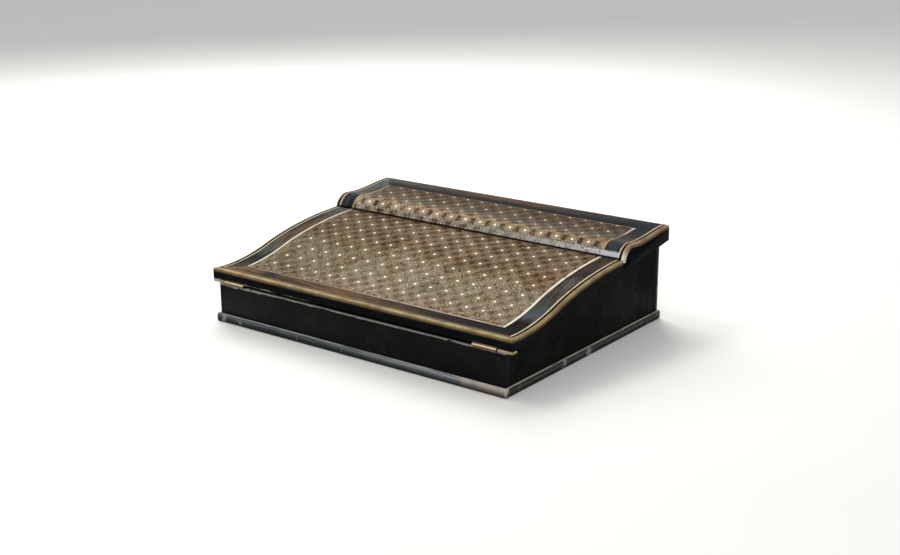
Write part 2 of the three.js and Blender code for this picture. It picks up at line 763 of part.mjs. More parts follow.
const WELL_T = (BAY_FRONT + BAY_REAR) / 2;
const WELL_X = (BAY_EDGE + INNER_HALF) / 2;
const wellBore = new THREE.CylinderGeometry(WELL_BORE, WELL_BORE, 2 * WELL_DEPTH, 24);
wellBore.rotateX(Math.PI / 2);
wellBore.translate(0, 0, WELL_HEIGHT);
const wellBody = geometryOf(upright(wellPlan, 0, WELL_HEIGHT).subtract(solidOf(wellBore)));

const capProfile = [
  v2(0, -CAP_SPIGOT),
  v2(WELL_BORE - RUNNING, -CAP_SPIGOT),
  v2(WELL_BORE - RUNNING, 0),
  v2(CAP_RADIUS, 0),
  v2(CAP_RADIUS, CAP_HEIGHT / 2),
  v2(CAP_RADIUS - CAP_HEIGHT / 2, CAP_HEIGHT),
  v2(CAP_KNOB_RADIUS / 2, CAP_HEIGHT + 1),
  v2(CAP_KNOB_RADIUS, CAP_HEIGHT + CAP_KNOB_HEIGHT / 2),
  v2(CAP_KNOB_RADIUS / 2, CAP_HEIGHT + CAP_KNOB_HEIGHT),
  v2(0, CAP_HEIGHT + CAP_KNOB_HEIGHT),
];
const capBody = new THREE.LatheGeometry(capProfile, 24);
capBody.rotateX(Math.PI / 2);

for (const [name, side] of SIDES) {
  const well = piece(`inkwell_${name}`, wellBody.clone(), GLASS);
  well.position.set(side * WELL_X, WELL_T, FLOOR_Z);
  const cap = piece(`inkwell_cap_${name}`, capBody.clone(), BRASS);
  cap.position.set(side * WELL_X, WELL_T, FLOOR_Z + WELL_HEIGHT + SEAT);
}

// The flap: a shaped board, flat inside, with a rebate for the beads and a sunk field for the inlay

const PANEL_HALF = INNER_HALF - 4 * GAP;
const flapFullPlan = planBox(-HALF_WIDTH, HALF_WIDTH, 0, FLAP_DEPTH);
const flapShoulder = sunk(flapLine, SHOULDER_DEPTH);

/** A slice of the flap board under the beads, with one shape of underside. */
const flapSlice = (under, x0, x1) => across([...flapShoulder, ...under.slice().reverse()], x0, x1);

const LAND_Z = FLAP_UNDER_FRONT;
const flatUnder = [
  v2(0, LAND_Z),
  v2(FLAP_FRONT_LAND, LAND_Z),
  v2(FLAP_FRONT_LAND + GAP, writingPlane(FLAP_FRONT_LAND)),
  v2(FLAP_DEPTH, FLAP_UNDER_REAR),
];
const flapInnerPlan = planBox(-BEAD_IN + H, BEAD_IN - H, FRONT_BEAD + H, FLAP_DEPTH);
const flapLipPlan = bandPlan(BEAD_IN - H, FRONT_BEAD + H, LIP_IN + H, FRONT_LIP_T - H, FLAP_DEPTH);
const flapBlank = join(
  flapSlice(flatUnder, -PANEL_HALF, PANEL_HALF),
  flapSlice(flapUnder, -HALF_WIDTH, -PANEL_HALF + GAP),
  flapSlice(flapUnder, PANEL_HALF - GAP, HALF_WIDTH),
).intersect(upright(flapFullPlan, 0, REAR_HEIGHT));
const deeper = SHOULDER_DEPTH + VENEER;

piece('flap_board', cut(
  join(
    flapBlank,
    layer(flapLine, FIELD_DEPTH, deeper, flapInnerPlan),
    layer(flapLine, 0, deeper, flapLipPlan),
  ),
  ...SIDES.map(([, side]) => flapRoom(side * HINGE_PLACE)),
), EBONISED);

piece('flap_mosaic', layer(
  flapLine, 0, VENEER,
  planBox(-MOSAIC_HALF + H, MOSAIC_HALF - H, FRONT_MOSAIC_T + H, FLAP_DEPTH),
), MOSAIC);

piece('flap_border_front', layer(flapLine, 0, VENEER, [
  v2(-OUTER_LINE_IN + 2 * GAP, FRONT_LINE_T + H),
  v2(OUTER_LINE_IN - 2 * GAP, FRONT_LINE_T + H),
  v2(BORDER_IN - H, FRONT_BORDER_T - H),
  v2(-BORDER_IN + H, FRONT_BORDER_T - H),
]), BROWN_BORDER);

const flapSidePlan = [
  v2(OUTER_LINE_IN - H, FRONT_LINE_T + GAP),
  v2(OUTER_LINE_IN - H, FLAP_DEPTH),
  v2(BORDER_IN + H, FLAP_DEPTH),
  v2(BORDER_IN + H, FRONT_BORDER_T + H),
];
piece('flap_border_left', layer(flapLine, 0, VENEER, mirrored(flapSidePlan)), DARK_BORDER);
piece('flap_border_right', layer(flapLine, 0, VENEER, flapSidePlan), DARK_BORDER);

piece('flap_inner_line', layer(flapLine, 0, VENEER, bandPlan(
  BORDER_IN - H, FRONT_BORDER_T + H, MOSAIC_HALF + H, FRONT_MOSAIC_T - H, FLAP_DEPTH,
)), BONE);

piece('flap_outer_line', layer(flapLine, 0, VENEER, bandPlan(
  LIP_IN - H, FRONT_LIP_T + H, OUTER_LINE_IN + H, FRONT_LINE_T - H, FLAP_DEPTH,
)), BONE);

const frontBeadFoot = FRONT_HEIGHT - BEAD_HEIGHT;
const frontBeadSection = new THREE.Shape();
frontBeadSection.moveTo(0, frontBeadFoot);
frontBeadSection.lineTo(FRONT_BEAD - H, frontBeadFoot);
frontBeadSection.lineTo(FRONT_BEAD - H, heightAt(sunk(flapLine, 0), FRONT_BEAD));
frontBeadSection.quadraticCurveTo(0, FRONT_HEIGHT, 0, frontBeadFoot + BEAD_HEIGHT / 2);
frontBeadSection.closePath();
piece('flap_bead_front', across(frontBeadSection, -BEAD_IN + GAP, BEAD_IN - GAP), BRASS_BEAD);

const flapSpan = upright(planBox(-HALF_WIDTH, HALF_WIDTH, 0, FLAP_DEPTH), 0, REAR_HEIGHT);
piece('flap_bead_left', solidOf(sideBead(flapLine, -1)).intersect(flapSpan), BRASS_BEAD);
piece('flap_bead_right', solidOf(sideBead(flapLine, 1)).intersect(flapSpan), BRASS_BEAD);

// Strips under the front corners of the flap, beside the hinges

const STRIP_IN = HINGE_PLACE + LEAF_HALF + 2 * GAP;
const STRIP_FOOT = FRONT_WALL_TOP + 2 * GAP;
const stripSection = [
  v2(0, STRIP_FOOT),
  v2(STRIP_DEPTH, STRIP_FOOT),
  v2(STRIP_DEPTH, heightAt(flapUnder, STRIP_DEPTH) - GAP),
  v2(0, FLAP_UNDER_FRONT - GAP),
];
piece('flap_strip_left', across(stripSection, -HALF_WIDTH, -STRIP_IN), BONE);
piece('flap_strip_right', across(stripSection, STRIP_IN, HALF_WIDTH), BONE);

// The leather of the writing surface, glued to the flat inside of the flap

const liningFront = FLAP_FRONT_LAND + LINING_MARGIN;
const liningRear = BEARER_FRONT - LINING_MARGIN;
piece('flap_lining', across([
  v2(liningFront, writingPlane(liningFront) - GAP - LINING_THICKNESS),
  v2(liningRear, writingPlane(liningRear) - GAP - LINING_THICKNESS),
  v2(liningRear, writingPlane(liningRear) - GAP),
  v2(liningFront, writingPlane(liningFront) - GAP),
], -PANEL_HALF + LINING_MARGIN, PANEL_HALF - LINING_MARGIN), LEATHER);

// The lid over the rear compartment

/** Section of the lid's core at a depth under its outline. */
function lidSection(depth) {
  return [
    v2(LID_START, lidUnder(LID_START)),
    v2(TOP_DEPTH, LID_UNDER_REAR),
    ...sunk(lidLine, depth).reverse(),
    v2(LID_START + depth, ROLL_FOOT_HEIGHT - GAP),
    v2(LID_START, ROLL_FOOT_HEIGHT - GAP),
  ];
}

const lidFieldPlan = planBox(-BEAD_IN + H, BEAD_IN - H, LID_START, TOP_DEPTH);
const lidLipPlan = bandPlan(BEAD_IN - H, TOP_DEPTH, LIP_IN + H, REAR_LIP_T + H, LID_START);
const lidBlank = across(lidSection(SHOULDER_DEPTH), -HALF_WIDTH, HALF_WIDTH)
  .intersect(upright(planBox(-HALF_WIDTH, HALF_WIDTH, LID_START, TOP_DEPTH), 0, REAR_HEIGHT));
const lidField = across(lidSection(FIELD_DEPTH), -HALF_WIDTH, HALF_WIDTH)
  .intersect(upright(lidFieldPlan, 0, REAR_HEIGHT));

piece('lid_board', cut(
  join(lidBlank, lidField, layer(lidLine, 0, deeper, lidLipPlan)),
  ...SIDES.map(([, side]) => lidRoom(side * HINGE_PLACE)),
), EBONISED);

piece('lid_mosaic', layer(
  lidLine, 0, VENEER,
  planBox(-MOSAIC_HALF + H, MOSAIC_HALF - H, LID_START, REAR_MOSAIC_T - H),
), MOSAIC);

piece('lid_border_rear', layer(lidLine, 0, VENEER, [
  v2(-BORDER_IN + H, REAR_BORDER_T + H),
  v2(BORDER_IN - H, REAR_BORDER_T + H),
  v2(OUTER_LINE_IN - 2 * GAP, REAR_LINE_T - H),
  v2(-OUTER_LINE_IN + 2 * GAP, REAR_LINE_T - H),
]), BROWN_BORDER);

const lidSidePlan = [
  v2(OUTER_LINE_IN - H, LID_START),
  v2(OUTER_LINE_IN - H, REAR_LINE_T - GAP),
  v2(BORDER_IN + H, REAR_BORDER_T - H),
  v2(BORDER_IN + H, LID_START),
];
piece('lid_border_left', layer(lidLine, 0, VENEER, mirrored(lidSidePlan)), DARK_BORDER);
piece('lid_border_right', layer(lidLine, 0, VENEER, lidSidePlan), DARK_BORDER);

piece('lid_inner_line', layer(lidLine, 0, VENEER, bandPlan(
  BORDER_IN - H, REAR_BORDER_T - H, MOSAIC_HALF + H, REAR_MOSAIC_T + H, LID_START,
)), BONE);

piece('lid_outer_line', layer(lidLine, 0, VENEER, bandPlan(
  LIP_IN - H, REAR_LIP_T - H, OUTER_LINE_IN + H, REAR_LINE_T + H, LID_START,
)), BONE);

const lidSpan = upright(planBox(-HALF_WIDTH, HALF_WIDTH, LID_START, TOP_DEPTH), 0, REAR_HEIGHT);
piece('lid_bead_left', solidOf(sideBead(lidLine, -1)).intersect(lidSpan), BRASS_BEAD);
piece('lid_bead_right', solidOf(sideBead(lidLine, 1)).intersect(lidSpan), BRASS_BEAD);

// Hinges, each in a group of its own about its pin

for (const [name, side] of SIDES) {
  const front = new THREE.Group();
  front.position.set(side * HINGE_PLACE, FLAP_AXIS_T, FLAP_AXIS_Z);
  inside.add(front);
  piece(`flap_hinge_case_leaf_${name}`, frontFixedLeaf(), BRASS, front);
  piece(`flap_hinge_flap_leaf_${name}`, frontMovingLeaf(), BRASS, front);
  piece(`flap_hinge_pin_${name}`, hingePin(), BRASS, front);
  SCREW_PLACES.forEach((x, index) => {
    const low = piece(`case_screw_${name}_${index + 1}`, screwSolid(0), BRASS, front);
    low.rotation.x = Math.PI;
    low.position.set(x, SCREW_SETBACK, -PLATE_OFFSET);
    const high = piece(`flap_screw_${name}_${index + 1}`, screwSolid(0), BRASS, front);
    high.position.set(x, SCREW_SETBACK, FLAP_PLATE_OFFSET);
  });

  const rear = new THREE.Group();
  rear.position.set(side * HINGE_PLACE, LID_AXIS_T, LID_AXIS_Z);
  inside.add(rear);
  piece(`lid_hinge_case_leaf_${name}`, rearFixedLeaf(), BRASS, rear);
  piece(`lid_hinge_lid_leaf_${name}`, rearMovingLeaf(), BRASS, rear);
  piece(`lid_hinge_pin_${name}`, hingePin(), BRASS, rear);
}

export default writingBox;
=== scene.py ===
"""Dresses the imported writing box: its inlaid ogee top, its case, its fittings and their finishes."""

import logging
import math
from dataclasses import dataclass, field
from enum import Enum
from typing import Callable, Iterable, Iterator, Sequence

import bmesh
import bpy
from mathutils import Matrix, Vector


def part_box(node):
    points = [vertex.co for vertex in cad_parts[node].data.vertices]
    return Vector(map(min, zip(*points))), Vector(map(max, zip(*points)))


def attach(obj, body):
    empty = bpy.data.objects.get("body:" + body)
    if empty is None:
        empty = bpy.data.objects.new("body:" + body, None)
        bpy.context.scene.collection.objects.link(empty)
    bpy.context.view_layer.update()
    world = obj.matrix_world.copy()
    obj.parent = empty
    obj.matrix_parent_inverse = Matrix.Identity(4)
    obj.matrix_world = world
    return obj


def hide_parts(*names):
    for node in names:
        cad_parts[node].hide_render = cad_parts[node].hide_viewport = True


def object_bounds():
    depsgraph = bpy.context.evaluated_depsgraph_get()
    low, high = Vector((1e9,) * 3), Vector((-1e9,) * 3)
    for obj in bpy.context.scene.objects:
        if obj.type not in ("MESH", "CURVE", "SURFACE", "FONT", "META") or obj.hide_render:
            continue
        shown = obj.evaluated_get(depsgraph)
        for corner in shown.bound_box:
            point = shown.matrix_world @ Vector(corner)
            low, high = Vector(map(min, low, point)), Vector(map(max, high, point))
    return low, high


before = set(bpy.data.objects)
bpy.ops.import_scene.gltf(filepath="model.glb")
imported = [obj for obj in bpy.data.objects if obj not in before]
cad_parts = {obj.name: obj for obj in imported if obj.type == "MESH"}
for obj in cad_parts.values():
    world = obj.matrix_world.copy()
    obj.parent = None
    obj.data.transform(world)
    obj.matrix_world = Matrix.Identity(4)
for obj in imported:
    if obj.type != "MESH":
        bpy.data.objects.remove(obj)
CAD_BOX = [list(corner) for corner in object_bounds()]

LOG = logging.getLogger("writing_box")
MM = 0.001
SURFACE = "surface"
WORN = "worn"
SIDES = ("left", "right")

Place = tuple[float, float]
Fence = tuple[Place, Place]
Colour = tuple[float, float, float, float]
Tones = tuple[tuple[float, str], ...]
EdgeTest = Callable[[bmesh.types.BMEdge], bool]
Piece = bpy.types.Object
Node = bpy.types.Node
Socket = bpy.types.NodeSocket

# Depths T run back from the front edge of the top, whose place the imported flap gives.
FRONT_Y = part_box("flap_board")[0].y

# Runs of tones go over the width of the top, or back along the ogee of the flap or the lid.
WIDTH: Place = (-225.0, 225.0)
FLAP_SPAN: Place = (0.0, 230.0)
LID_SPAN: Place = (0.0, 119.0)
EVEN: Tones = ((0.0, "#ffffff"), (1.0, "#ffffff"))


class Element(Enum):
    """What is picked on a mesh that is open for editing."""

    POINT = "VERT"
    EDGE = "EDGE"
    FACE = "FACE"


class Lay(Enum):
    """Which way the grain of a veneer runs over the top, and how fine it is each way."""

    ACROSS = (1.0, 16.0)
    BACKWARD = (16.0, 1.0)


# Working with meshes


def take(piece: Piece) -> None:
    """Selects one piece alone and makes it the active one."""
    bpy.ops.object.select_all(action="DESELECT")
    piece.select_set(True)
    bpy.context.view_layer.objects.active = piece


def open_up(piece: Piece, action: str = "DESELECT") -> None:
    """Opens one piece for editing, with nothing or everything on it selected."""
    take(piece)
    bpy.ops.object.mode_set(mode="EDIT")
    bpy.ops.mesh.select_all(action=action)


def close_up() -> None:
    """Ends the editing of a piece."""
    bpy.ops.object.mode_set(mode="OBJECT")


def pick(piece: Piece, kind: Element, wanted: Callable[..., bool]) -> int:
    """Selects the points, edges or faces of an open piece that are wanted.

    Args:
        piece: the piece that is open for editing.
        kind: what is selected.
        wanted: says of one element whether it is.

    Returns:
        How many are selected.
    """
    bpy.ops.mesh.select_all(action="DESELECT")
    bpy.ops.mesh.select_mode(type=kind.value)
    shape = bmesh.from_edit_mesh(piece.data)
    elements = {Element.POINT: shape.verts, Element.EDGE: shape.edges, Element.FACE: shape.faces}[kind]
    found = [element for element in elements if wanted(element)]
    for element in found:
        element.select_set(True)
    shape.select_flush_mode()
    bmesh.update_edit_mesh(piece.data)
    return len(found)


def extrude(x: float, y: float, z: float) -> None:
    """Draws what is selected out by one step, in millimetres."""
    bpy.ops.mesh.extrude_region_move(TRANSFORM_OT_translate={"value": (x * MM, y * MM, z * MM)})


def settle(piece: Piece, name: str) -> Piece:
    """Names a new piece, moves its place, turn and size into its mesh, and returns it."""
    take(piece)
    bpy.ops.object.transform_apply(location=True, rotation=True, scale=True)
    piece.name = name
    piece.data.name = name
    return piece


def copied(piece: Piece, name: str) -> Piece:
    """Copies a piece with a mesh of its own, free of what was said of the first."""
    twin = piece.copy()
    twin.data = piece.data.copy()
    twin.name = name
    twin.data.name = name
    twin.parent = None
    twin.hide_render = twin.hide_viewport = False
    for key in [key for key in twin.keys() if key.startswith("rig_")]:
        del twin[key]
    bpy.context.scene.collection.objects.link(twin)
    return twin


def modify(piece: Piece, kind: str, **settings: object) -> None:
    """Adds one modifier with its settings to a piece and applies it."""
    take(piece)
    modifier = piece.modifiers.new(kind.title(), kind)
    for key, value in settings.items():
        setattr(modifier, key, value)
    bpy.ops.object.modifier_apply(modifier=modifier.name)


def smooth(piece: Piece, degrees: float = 32.0) -> None:
    """Shades a piece smooth where its faces meet at less than an angle."""
    take(piece)
    bpy.ops.object.shade_smooth_by_angle(angle=math.radians(degrees))


def mark_worn(piece: Piece, amount: float) -> None:
    """Keeps the selected faces, as worn from 0 to 1, in the attribute that the finishes read."""
    shape = piece.data
    held = shape.attributes.get(WORN)
    values = [0.0] * len(shape.polygons)
    if held is not None:
        held.data.foreach_get("value", values)
        shape.attributes.remove(held)
    made = shape.attributes.new(WORN, "FLOAT", "FACE")
    for face in shape.polygons:
        if face.select:
            values[face.index] = amount
    made.data.foreach_set("value", values)


def soften(piece: Piece, width: float, shortest: float, wanted: EdgeTest = lambda edge: True,
           segments: int = 2, wear: float = 0.0) -> None:
    """Rounds the long sharp arrises of a piece and marks how worn they are.

    Args:
        piece: the piece.
        width: how far the rounding reaches, in millimetres.
        shortest: the shortest edge that is rounded, in millimetres.
        wanted: a further test of an edge.
        segments: faces across the rounding.
        wear: how worn the rounding is, from 0 to 1.
    """
    sharp = math.radians(35)

    def is_arris(edge: bmesh.types.BMEdge) -> bool:
        """Says whether an edge is long, sharp and stands outwards."""
        return (edge.is_manifold and edge.is_convex and edge.calc_length() > shortest * MM
                and edge.calc_face_angle(0.0) > sharp and wanted(edge))

    open_up(piece)
    if pick(piece, Element.EDGE, is_arris):
        bpy.ops.mesh.bevel(offset=width * MM, segments=segments, affect="EDGES", clamp_overlap=False)
    close_up()
    if wear:
        mark_worn(piece, wear)


def finish_piece(piece: Piece, body: str, nodes: Sequence[str],
                 material: bpy.types.Material) -> None:
    """Gives a piece its finish and says what it rides on and stands for.

    Args:
        piece: the finished shape.
        body: the body that it moves with.
        nodes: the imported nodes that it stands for.
        material: what it is made of.
    """
    piece.data.materials.clear()
    piece.data.materials.append(material)
    if nodes:
        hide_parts(*nodes)
    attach(piece, body)
    LOG.info("%s: %d faces, rides on %s", piece.name, len(piece.data.polygons), body)


def from_node(node: str, name: str) -> Piece:
    """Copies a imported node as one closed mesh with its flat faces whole, under a new name."""
    piece = copied(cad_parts[node], name)
    open_up(piece, "SELECT")
    bpy.ops.mesh.remove_doubles(threshold=0.004 * MM)
    bpy.ops.mesh.dissolve_limited(angle_limit=math.radians(0.05))
    close_up()
    return piece


# Working with materials


def linear(code: str) -> Colour:
    """Turns an sRGB hex colour to the linear colour that a shader takes."""
    channels = [int(code[at:at + 2], 16) / 255 for at in (1, 3, 5)]
    red, green, blue = (c / 12.92 if c <= 0.04045 else ((c + 0.055) / 1.055) ** 2.4 for c in channels)
    return (red, green, blue, 1.0)


@dataclass(frozen=True)
class Graph:
    """A node tree, with a short call for each kind of node that the finishes draw with.

    What feeds a node is a node, a socket, a value, a hex colour, or None for nothing.
    """

    tree: bpy.types.NodeTree

    def add(self, kind: str, *feeds: object, **settings: object) -> Node:
        """Adds a node with its settings and links.

        Args:
            kind: the node's type, after "ShaderNode".
            *feeds: what goes into its sockets, in order.
            **settings: its properties, named sockets (with _ for a space), or the stops of a ramp.

        Returns:
            The node.
        """
        node = self.tree.nodes.new("ShaderNode" + kind)
        named = []
        for key, value in settings.items():
            if key == "stops":
                ramp = node.color_ramp
                while len(ramp.elements) < len(value):
                    ramp.elements.new(1.0)
                for element, (place, code) in zip(ramp.elements, value):
                    element.position = place
                    element.color = linear(code)
            elif key == "steps":
                node.color_ramp.interpolation = value
            elif hasattr(node, key):
                setattr(node, key, value)
            else:
                named.append((node.inputs[key.replace("_", " ")], value))
        for socket, feed in [*zip(node.inputs, feeds), *named]:
            if isinstance(feed, Node):
                self.tree.links.new(feed.outputs[0], socket)
            elif isinstance(feed, Socket):
                self.tree.links.new(feed, socket)
            elif feed is not None:
                socket.default_value = linear(feed) if isinstance(feed, str) else feed
        return node

    def place(self) -> Socket:
        """Finds the place in the box, in metres."""
        return self.add("TexCoord").outputs["Object"]

    def chart(self) -> Node:
        """Finds the place on the map of the top: metres across, and back along the ogee."""
        return self.add("UVMap", uv_map=SURFACE)

    def upward(self) -> Socket:
        """Measures how far the surface faces up, from -1 to 1."""
        return self.axes(self.add("TexCoord").outputs["Normal"])[2]

    def axes(self, vector: object) -> Sequence[Socket]:
        """Takes a place apart."""
        return self.add("SeparateXYZ", vector).outputs

    def math(self, operation: str, *feeds: object) -> Node:
        """Works a number out from others."""
        return self.add("Math", *feeds, operation=operation)

    def product(self, first: object, *others: object) -> Node:
        """Multiplies numbers or masks."""
        for other in others:
            first = self.math("MULTIPLY", first, other)
        return first

    def vector(self, operation: str, *feeds: object) -> Node:
        """Works a place out from others."""
        return self.add("VectorMath", *feeds, operation=operation)

    def length(self, operation: str, *feeds: object) -> Socket:
        """Works a length out from places."""
        return self.vector(operation, *feeds).outputs["Value"]

    def fade(self, value: object, start: float, end: float, low: float = 0.0, high: float = 1.0) -> Node:
        """Turns the run of a value from start to end to one from low to high, and holds it there."""
        return self.add("MapRange", value, start, end, low, high)

    def noise(self, place: object, grains: float, detail: float, roughness: float = 0.5) -> Node:
        """Draws noise with so many grains to the metre."""
        return self.add("TexNoise", place, Scale=grains, Detail=detail, Roughness=roughness)

    def drawn(self, place: object, grains: Sequence[float], detail: float, roughness: float = 0.5) -> Node:
        """Draws noise with so many grains to the metre each way, so that it is long along a grain."""
        return self.noise(self.add("Mapping", place, Scale=grains), 1.0, detail, roughness)

    def mix(self, share: object, under: object, over: object, blend: str = "MIX") -> Node:
        """Lays one colour over another."""
        return self.add("MixRGB", share, under, over, blend_type=blend)

    def ramp(self, value: object, stops: Tones, steps: str = "LINEAR") -> Node:
        """Turns a value from 0 to 1 to a run of tones."""
        return self.add("ValToRGB", value, stops=stops, steps=steps)

    def toned(self, chart: object, lay: Lay, span: Place, tones: Tones) -> Node:
        """Lays a run of tones along a strip.

        Args:
            chart: the map of the top.
            lay: which way the strip runs.
            span: where the run starts and ends, in millimetres.
            tones: the tones and their places, from 0 to 1 of the span.

        Returns:
            The tone at each place.
        """
        run = self.axes(chart)[0 if lay is Lay.ACROSS else 1]
        return self.ramp(self.fade(run, span[0] * MM, span[1] * MM), tones)

    def bump(self, height: object, strength: float, depth: float) -> Node:
        """Roughens the surface by a height, as deep as so many millimetres."""
        return self.add("Bump", Height=height, Strength=strength, Distance=depth * MM)

    def surface(self, colour: object, **settings: object) -> Node:
        """Makes the shader."""
        return self.add("BsdfPrincipled", colour, **settings)


@dataclass(frozen=True)
class Finish:
    """What a piece is made of and how its surface was made."""

    name: str

    def make(self) -> bpy.types.Material:
        """Makes the material, or finds it when it was made before."""
        held = bpy.data.materials.get(self.name)
        if held is not None:
            return held
        material = bpy.data.materials.new(self.name)
        material.use_nodes = True
        material.node_tree.nodes.clear()
        graph = Graph(material.node_tree)
        graph.add("OutputMaterial", self.draw(graph))
        return material

    def draw(self, graph: Graph) -> Node:
        """Draws the nodes of the finish and returns its shader."""
        raise NotImplementedError


@dataclass(frozen=True)
class Charted(Finish):
    """A finish that follows the map of the top: across the box, and along the ogee.

    A piece with a foot stands on the slot: its lowest strip is painted near black as the shade of
    the slot, and a pale painted reflection lies above it, stronger to the right.
    """

    foot: bool = field(default=False, kw_only=True)
    sheen_across: Place = field(default=(-10.0, 170.0), kw_only=True)
    solid_from: float = field(default=194.0, kw_only=True)

    def footed(self, graph: Graph, chart: Node, colour: Node) -> Node:
        """Lays the painted reflection and the painted slot shade over a colour, if the piece has a foot."""
        if not self.foot:
            return colour
        across, back = graph.axes(chart)[:2]
        edge = graph.math("MULTIPLY_ADD", graph.noise(chart, 160.0, 3.0), 1.6 * MM, back)
        start, end = self.sheen_across
        right = graph.fade(across, start * MM, end * MM, 0.0, 0.9)
        low = graph.fade(edge, 10.5 * MM, 13.5 * MM, 1.0, 0.0)
        mottled = graph.fade(graph.noise(chart, 380.0, 2.0), 0.4, 0.58, 0.25)
        solid = graph.math("GREATER_THAN", across, self.solid_from * MM)
        # Pale painted reflection above the foot, mottled, stronger to the right.
        painted_sheen = graph.product(right, low, graph.math("MAXIMUM", mottled, solid))
        # Near-black painted shade of the slot on the lowest strip.
        slot_shade = graph.fade(edge, 5.9 * MM, 6.3 * MM, 0.97, 0.0)
        return graph.mix(slot_shade, graph.mix(painted_sheen, colour, "#d3d4da"), "#070606")


@dataclass(frozen=True)
class EbonisedWood(Finish):
    """Pear wood stained black and waxed: an even satin black that shows dust, rubs and bare arrises."""

    ground: str = "#080808"
    cloud: str = "#131312"
    rub: str = "#3d3b34"
    arris: str = "#7d7c70"
    rubs: float = 0.45
    gloss: float = 0.05
    roughness: float = 0.46
    specked: Place = (0.33, 0.42)
    grains: tuple[float, float, float] = (30.0, 30.0, 357.142857)

    def draw(self, graph: Graph) -> Node:
        """Black ground, grey cloud of handling, small pale rubs, and arrises worn to bare wood."""
        place = graph.place()
        colour = self.arrises(graph, place, self.handled(graph, place))
        grain = graph.drawn(place, self.grains, 3.0, 0.6)
        cloud = graph.noise(place, 22.0, 5.0, 0.62)
        rough = graph.fade(cloud, 0.3, 0.75, self.roughness - 0.08, self.roughness + 0.16)
        return graph.surface(colour, Roughness=rough, Normal=graph.bump(grain, 0.18, 0.15),
                             Specular_IOR_Level=self.gloss)

    def handled(self, graph: Graph, place: Socket) -> Node:
        """Draws the stained ground with its clouds and small rubs."""
        cloudy = graph.ramp(graph.noise(place, 26.0, 6.0, 0.68), ((0.42, self.ground), (0.75, self.cloud)))
        specks = graph.product(graph.noise(place, 420.0, 2.0, 0.7), graph.noise(place, 34.0, 4.0, 0.7))
        return graph.mix(graph.fade(specks, *self.specked, 0.0, self.rubs), cloudy, self.rub)

    def arrises(self, graph: Graph, place: Socket, colour: Node) -> Node:
        """Lays the bare, broken stretches over the arrises that are marked as worn."""
        worn = graph.add("Attribute", attribute_name=WORN).outputs["Fac"]
        bare = graph.fade(graph.noise(place, 70.0, 5.0, 0.7), 0.34, 0.56, 0.25)
        return graph.mix(graph.product(worn, bare), colour, self.arris)


@dataclass(frozen=True)
class RubbedCorners(EbonisedWood):
    """Ebonised wood of the walls, rubbed grey on both sides of the upright rear arrises."""

    def handled(self, graph: Graph, place: Socket) -> Node:
        """Lays a ragged grey strip on the faces next to the rear arrises."""
        across = graph.axes(graph.vector("ABSOLUTE", place))[0]
        from_side = graph.math("SUBTRACT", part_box("front_wall")[1].x, across)
        from_rear = graph.math("SUBTRACT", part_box("rear_wall")[1].y, graph.axes(place)[1])
        away = graph.math("MAXIMUM", from_side, from_rear)
        reach = graph.fade(graph.drawn(place, (300.0, 300.0, 50.0), 5.0, 0.7), 0.35, 0.65, 1.5 * MM, 4.5 * MM)
        near = graph.math("LESS_THAN", away, reach)
        return graph.mix(graph.product(near, 0.7), super().handled(graph, place), self.arris)


@dataclass(frozen=True)
class ChippedArris(EbonisedWood):
    """Ebonised wood whose long front arris is knocked bare, wider and more broken towards the left.

    In millimetres: the height of the arris, how wide the strip next to it is bare, how deep the
    face above it is, and the span across the box in which the strip narrows to the kept share.
    """

    height: float = 0.0
    strip: float = 2.0
    depth: float = 7.0
    span: Place = (-190.0, -60.0)
    kept: float = 0.5

    def handled(self, graph: Graph, place: Socket) -> Node:
        """Bares a ragged strip on the face next to the arris, and the front part of the face above it."""
        across, back, up = graph.axes(place)
        off = graph.math("ABSOLUTE", graph.math("SUBTRACT", up, self.height * MM))
        ragged = graph.drawn(place, (60.0, 320.0, 320.0), 6.0, 0.75)
        share = graph.fade(across, self.span[0] * MM, self.span[1] * MM, 1.0, self.kept)
        width = graph.fade(ragged, 0.36, 0.66, 0.0, 2 * self.strip * MM)
        near = graph.math("LESS_THAN", off, graph.product(width, share))
        depth = graph.math("MULTIPLY_ADD", ragged, 3 * MM, back)
        front = graph.fade(depth, FRONT_Y + 0.6 * self.depth * MM, FRONT_Y + self.depth * MM, 1.0, 0.0)
        return graph.mix(graph.product(near, front), super().handled(graph, place), self.arris)


